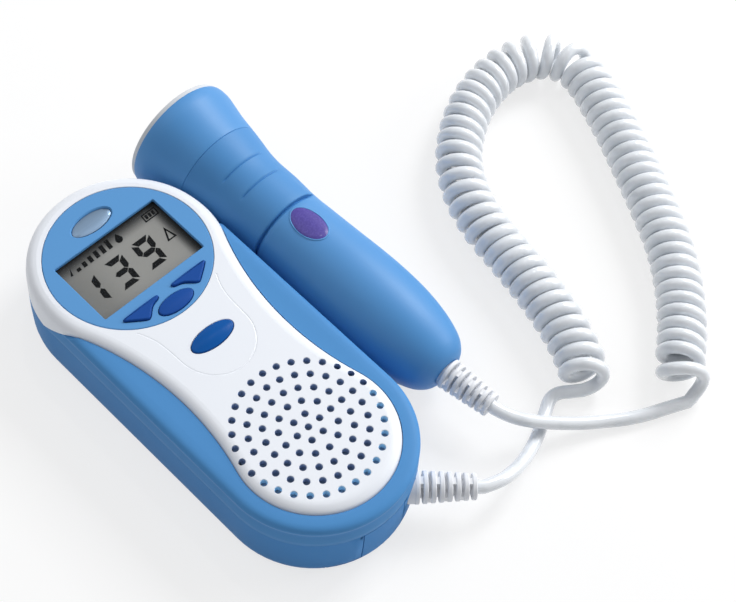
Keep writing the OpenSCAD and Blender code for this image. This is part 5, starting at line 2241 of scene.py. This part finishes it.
@dataclass
class Studio:
    """Camera, floor and soft light."""

    camera_at: Vector = field(default_factory=lambda: Vector((-0.184366, -0.212586, 0.491369)))
    right: Vector = field(default_factory=lambda: Vector((0.715467, -0.696650, 0.052776)))
    down: Vector = field(default_factory=lambda: Vector((-0.568822, -0.624713, -0.534954)))
    lens: float = 97.115
    sensor: float = 36.0
    ambient: float = 0.36
    floor_glow: float = 0.72
    floor_half: float = 3.0
    aim: Vector = field(default_factory=lambda: Vector((0.03, -0.02, 0.01)))
    lamps: tuple[tuple[str, Point, float, float], ...] = (
        ("key", (1.0, 0.1, 0.85), 0.5, 11.5),
        ("fill", (-0.25, 0.7, 1.2), 0.9, 2.4),
        ("side", (1.0, -0.5, 0.45), 0.5, 4.5),
        ("glint", (0.45, 0.35, 1.3), 0.05, 0.9),
    )

    def camera(self) -> None:
        """The photograph's viewing place and angle."""
        data = bpy.data.cameras.new("view")
        data.lens, data.sensor_width, data.sensor_fit = self.lens, self.sensor, "HORIZONTAL"
        data.clip_start, data.clip_end = 0.01, 20.0
        camera = bpy.data.objects.new("view", data)
        bpy.context.scene.collection.objects.link(camera)
        forward = self.right.cross(self.down).normalized()
        turn = Matrix((self.right, -self.down, -forward)).transposed().to_4x4()
        camera.matrix_world = Matrix.Translation(self.camera_at) @ turn
        bpy.context.scene.camera = camera

    def seen(self, graph: Graph) -> Socket:
        """1 for rays from the camera, in a reflection or through glass.

        Args:
            graph: The tree.

        Returns:
            The value.
        """
        ways = [f"Is {way} Ray" for way in ("Camera", "Glossy", "Transmission")]
        camera, glossy, through = (graph.node("ShaderNodeLightPath", output=way) for way in ways)
        return graph.math("MINIMUM", camera + glossy + through, 1.0)

    def world(self) -> None:
        """Even soft light, with a white background."""
        world = bpy.data.worlds.new("studio")
        bpy.context.scene.world = world
        world.use_nodes = True
        world.node_tree.nodes.clear()
        graph = Graph(world.node_tree)
        strength = self.seen(graph) * (1 - self.ambient) + self.ambient
        shade = graph.node("ShaderNodeBackground", inputs={"Color": (1, 1, 1, 1), "Strength": strength})
        graph.node("ShaderNodeOutputWorld", inputs={"Surface": shade})

    def floor(self) -> None:
        """A pale table that keeps the object's shadow."""
        h = self.floor_half
        corners = [(h, h), (-h, h), (-h, -h), (h, -h)]
        mesh = bpy.data.meshes.new("floor")
        mesh.from_pydata([(x, y, -0.1 * MM) for x, y in corners], [], [[0, 1, 2, 3]])
        floor = linked("floor", mesh)
        material = bpy.data.materials.new("table")
        material.use_nodes = True
        material.node_tree.nodes.clear()
        graph = Graph(material.node_tree)
        coords = graph.node("ShaderNodeTexCoord", output="Object")
        tone = graph.noise(coords, 60.0).mix("#f6f7f8", "#fcfcfc")
        matt = graph.node("ShaderNodeBsdfDiffuse", inputs={"Color": tone})
        glow = graph.node("ShaderNodeEmission", inputs={"Color": (1, 1, 1, 1), "Strength": 1.0})
        share = self.seen(graph) * self.floor_glow
        mixed = graph.node("ShaderNodeMixShader", inputs={"Fac": share, "Shader": matt, "Shader_001": glow})
        graph.node("ShaderNodeOutputMaterial", inputs={"Surface": mixed})
        mesh.materials.append(material)

    def lamp(self, name: str, at: Point, size: float, power: float) -> None:
        """A square soft box that looks at the object.

        Args:
            name: Name of the lamp.
            at: Its place, in metres.
            size: Its side, in metres.
            power: Its power, in watts.
        """
        data = bpy.data.lights.new(name, "AREA")
        data.size, data.energy = size, power
        lamp = bpy.data.objects.new(name, data)
        bpy.context.scene.collection.objects.link(lamp)
        lamp.location = at
        lamp.rotation_euler = (self.aim - Vector(at)).to_track_quat("-Z", "Y").to_euler()

    def build(self) -> None:
        """Builds the studio."""
        bpy.context.scene.view_settings.view_transform = "Standard"
        self.camera()
        self.world()
        self.floor()
        for name, at, size, power in self.lamps:
            self.lamp(name, at, size, power)


def main() -> None:
    """Builds every sub-assembly in order."""
    logging.basicConfig(level=logging.INFO, format="%(name)s %(message)s")
    Studio().build()
    form, probe, keys = CaseForm(), Probe(), Keypad()
    heading = math.radians(form.relief_heading)
    axis = Vector((math.cos(heading), math.sin(heading), 0))
    tip = (form.outlet + form.relief_length * axis) * MM
    CurlyCord(tip, axis, probe.relief_tip * MM, probe.relief_axis).build()
    MonitorCase(form).build()
    FrontCover(form).build()
    keys.build()
    Display().build(keys)
    turn = Matrix.Rotation(heading, 4, "Z") @ Matrix.Rotation(math.pi / 2, 4, "Y")
    place = Matrix.Translation(form.outlet) @ turn
    StrainRelief(form.relief_length, place, form.relief_root).build("monitor_strain_relief", "monitor")
    probe.build()
    InnerParts().build()
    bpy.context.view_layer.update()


if __name__ == "__main__":
    main()
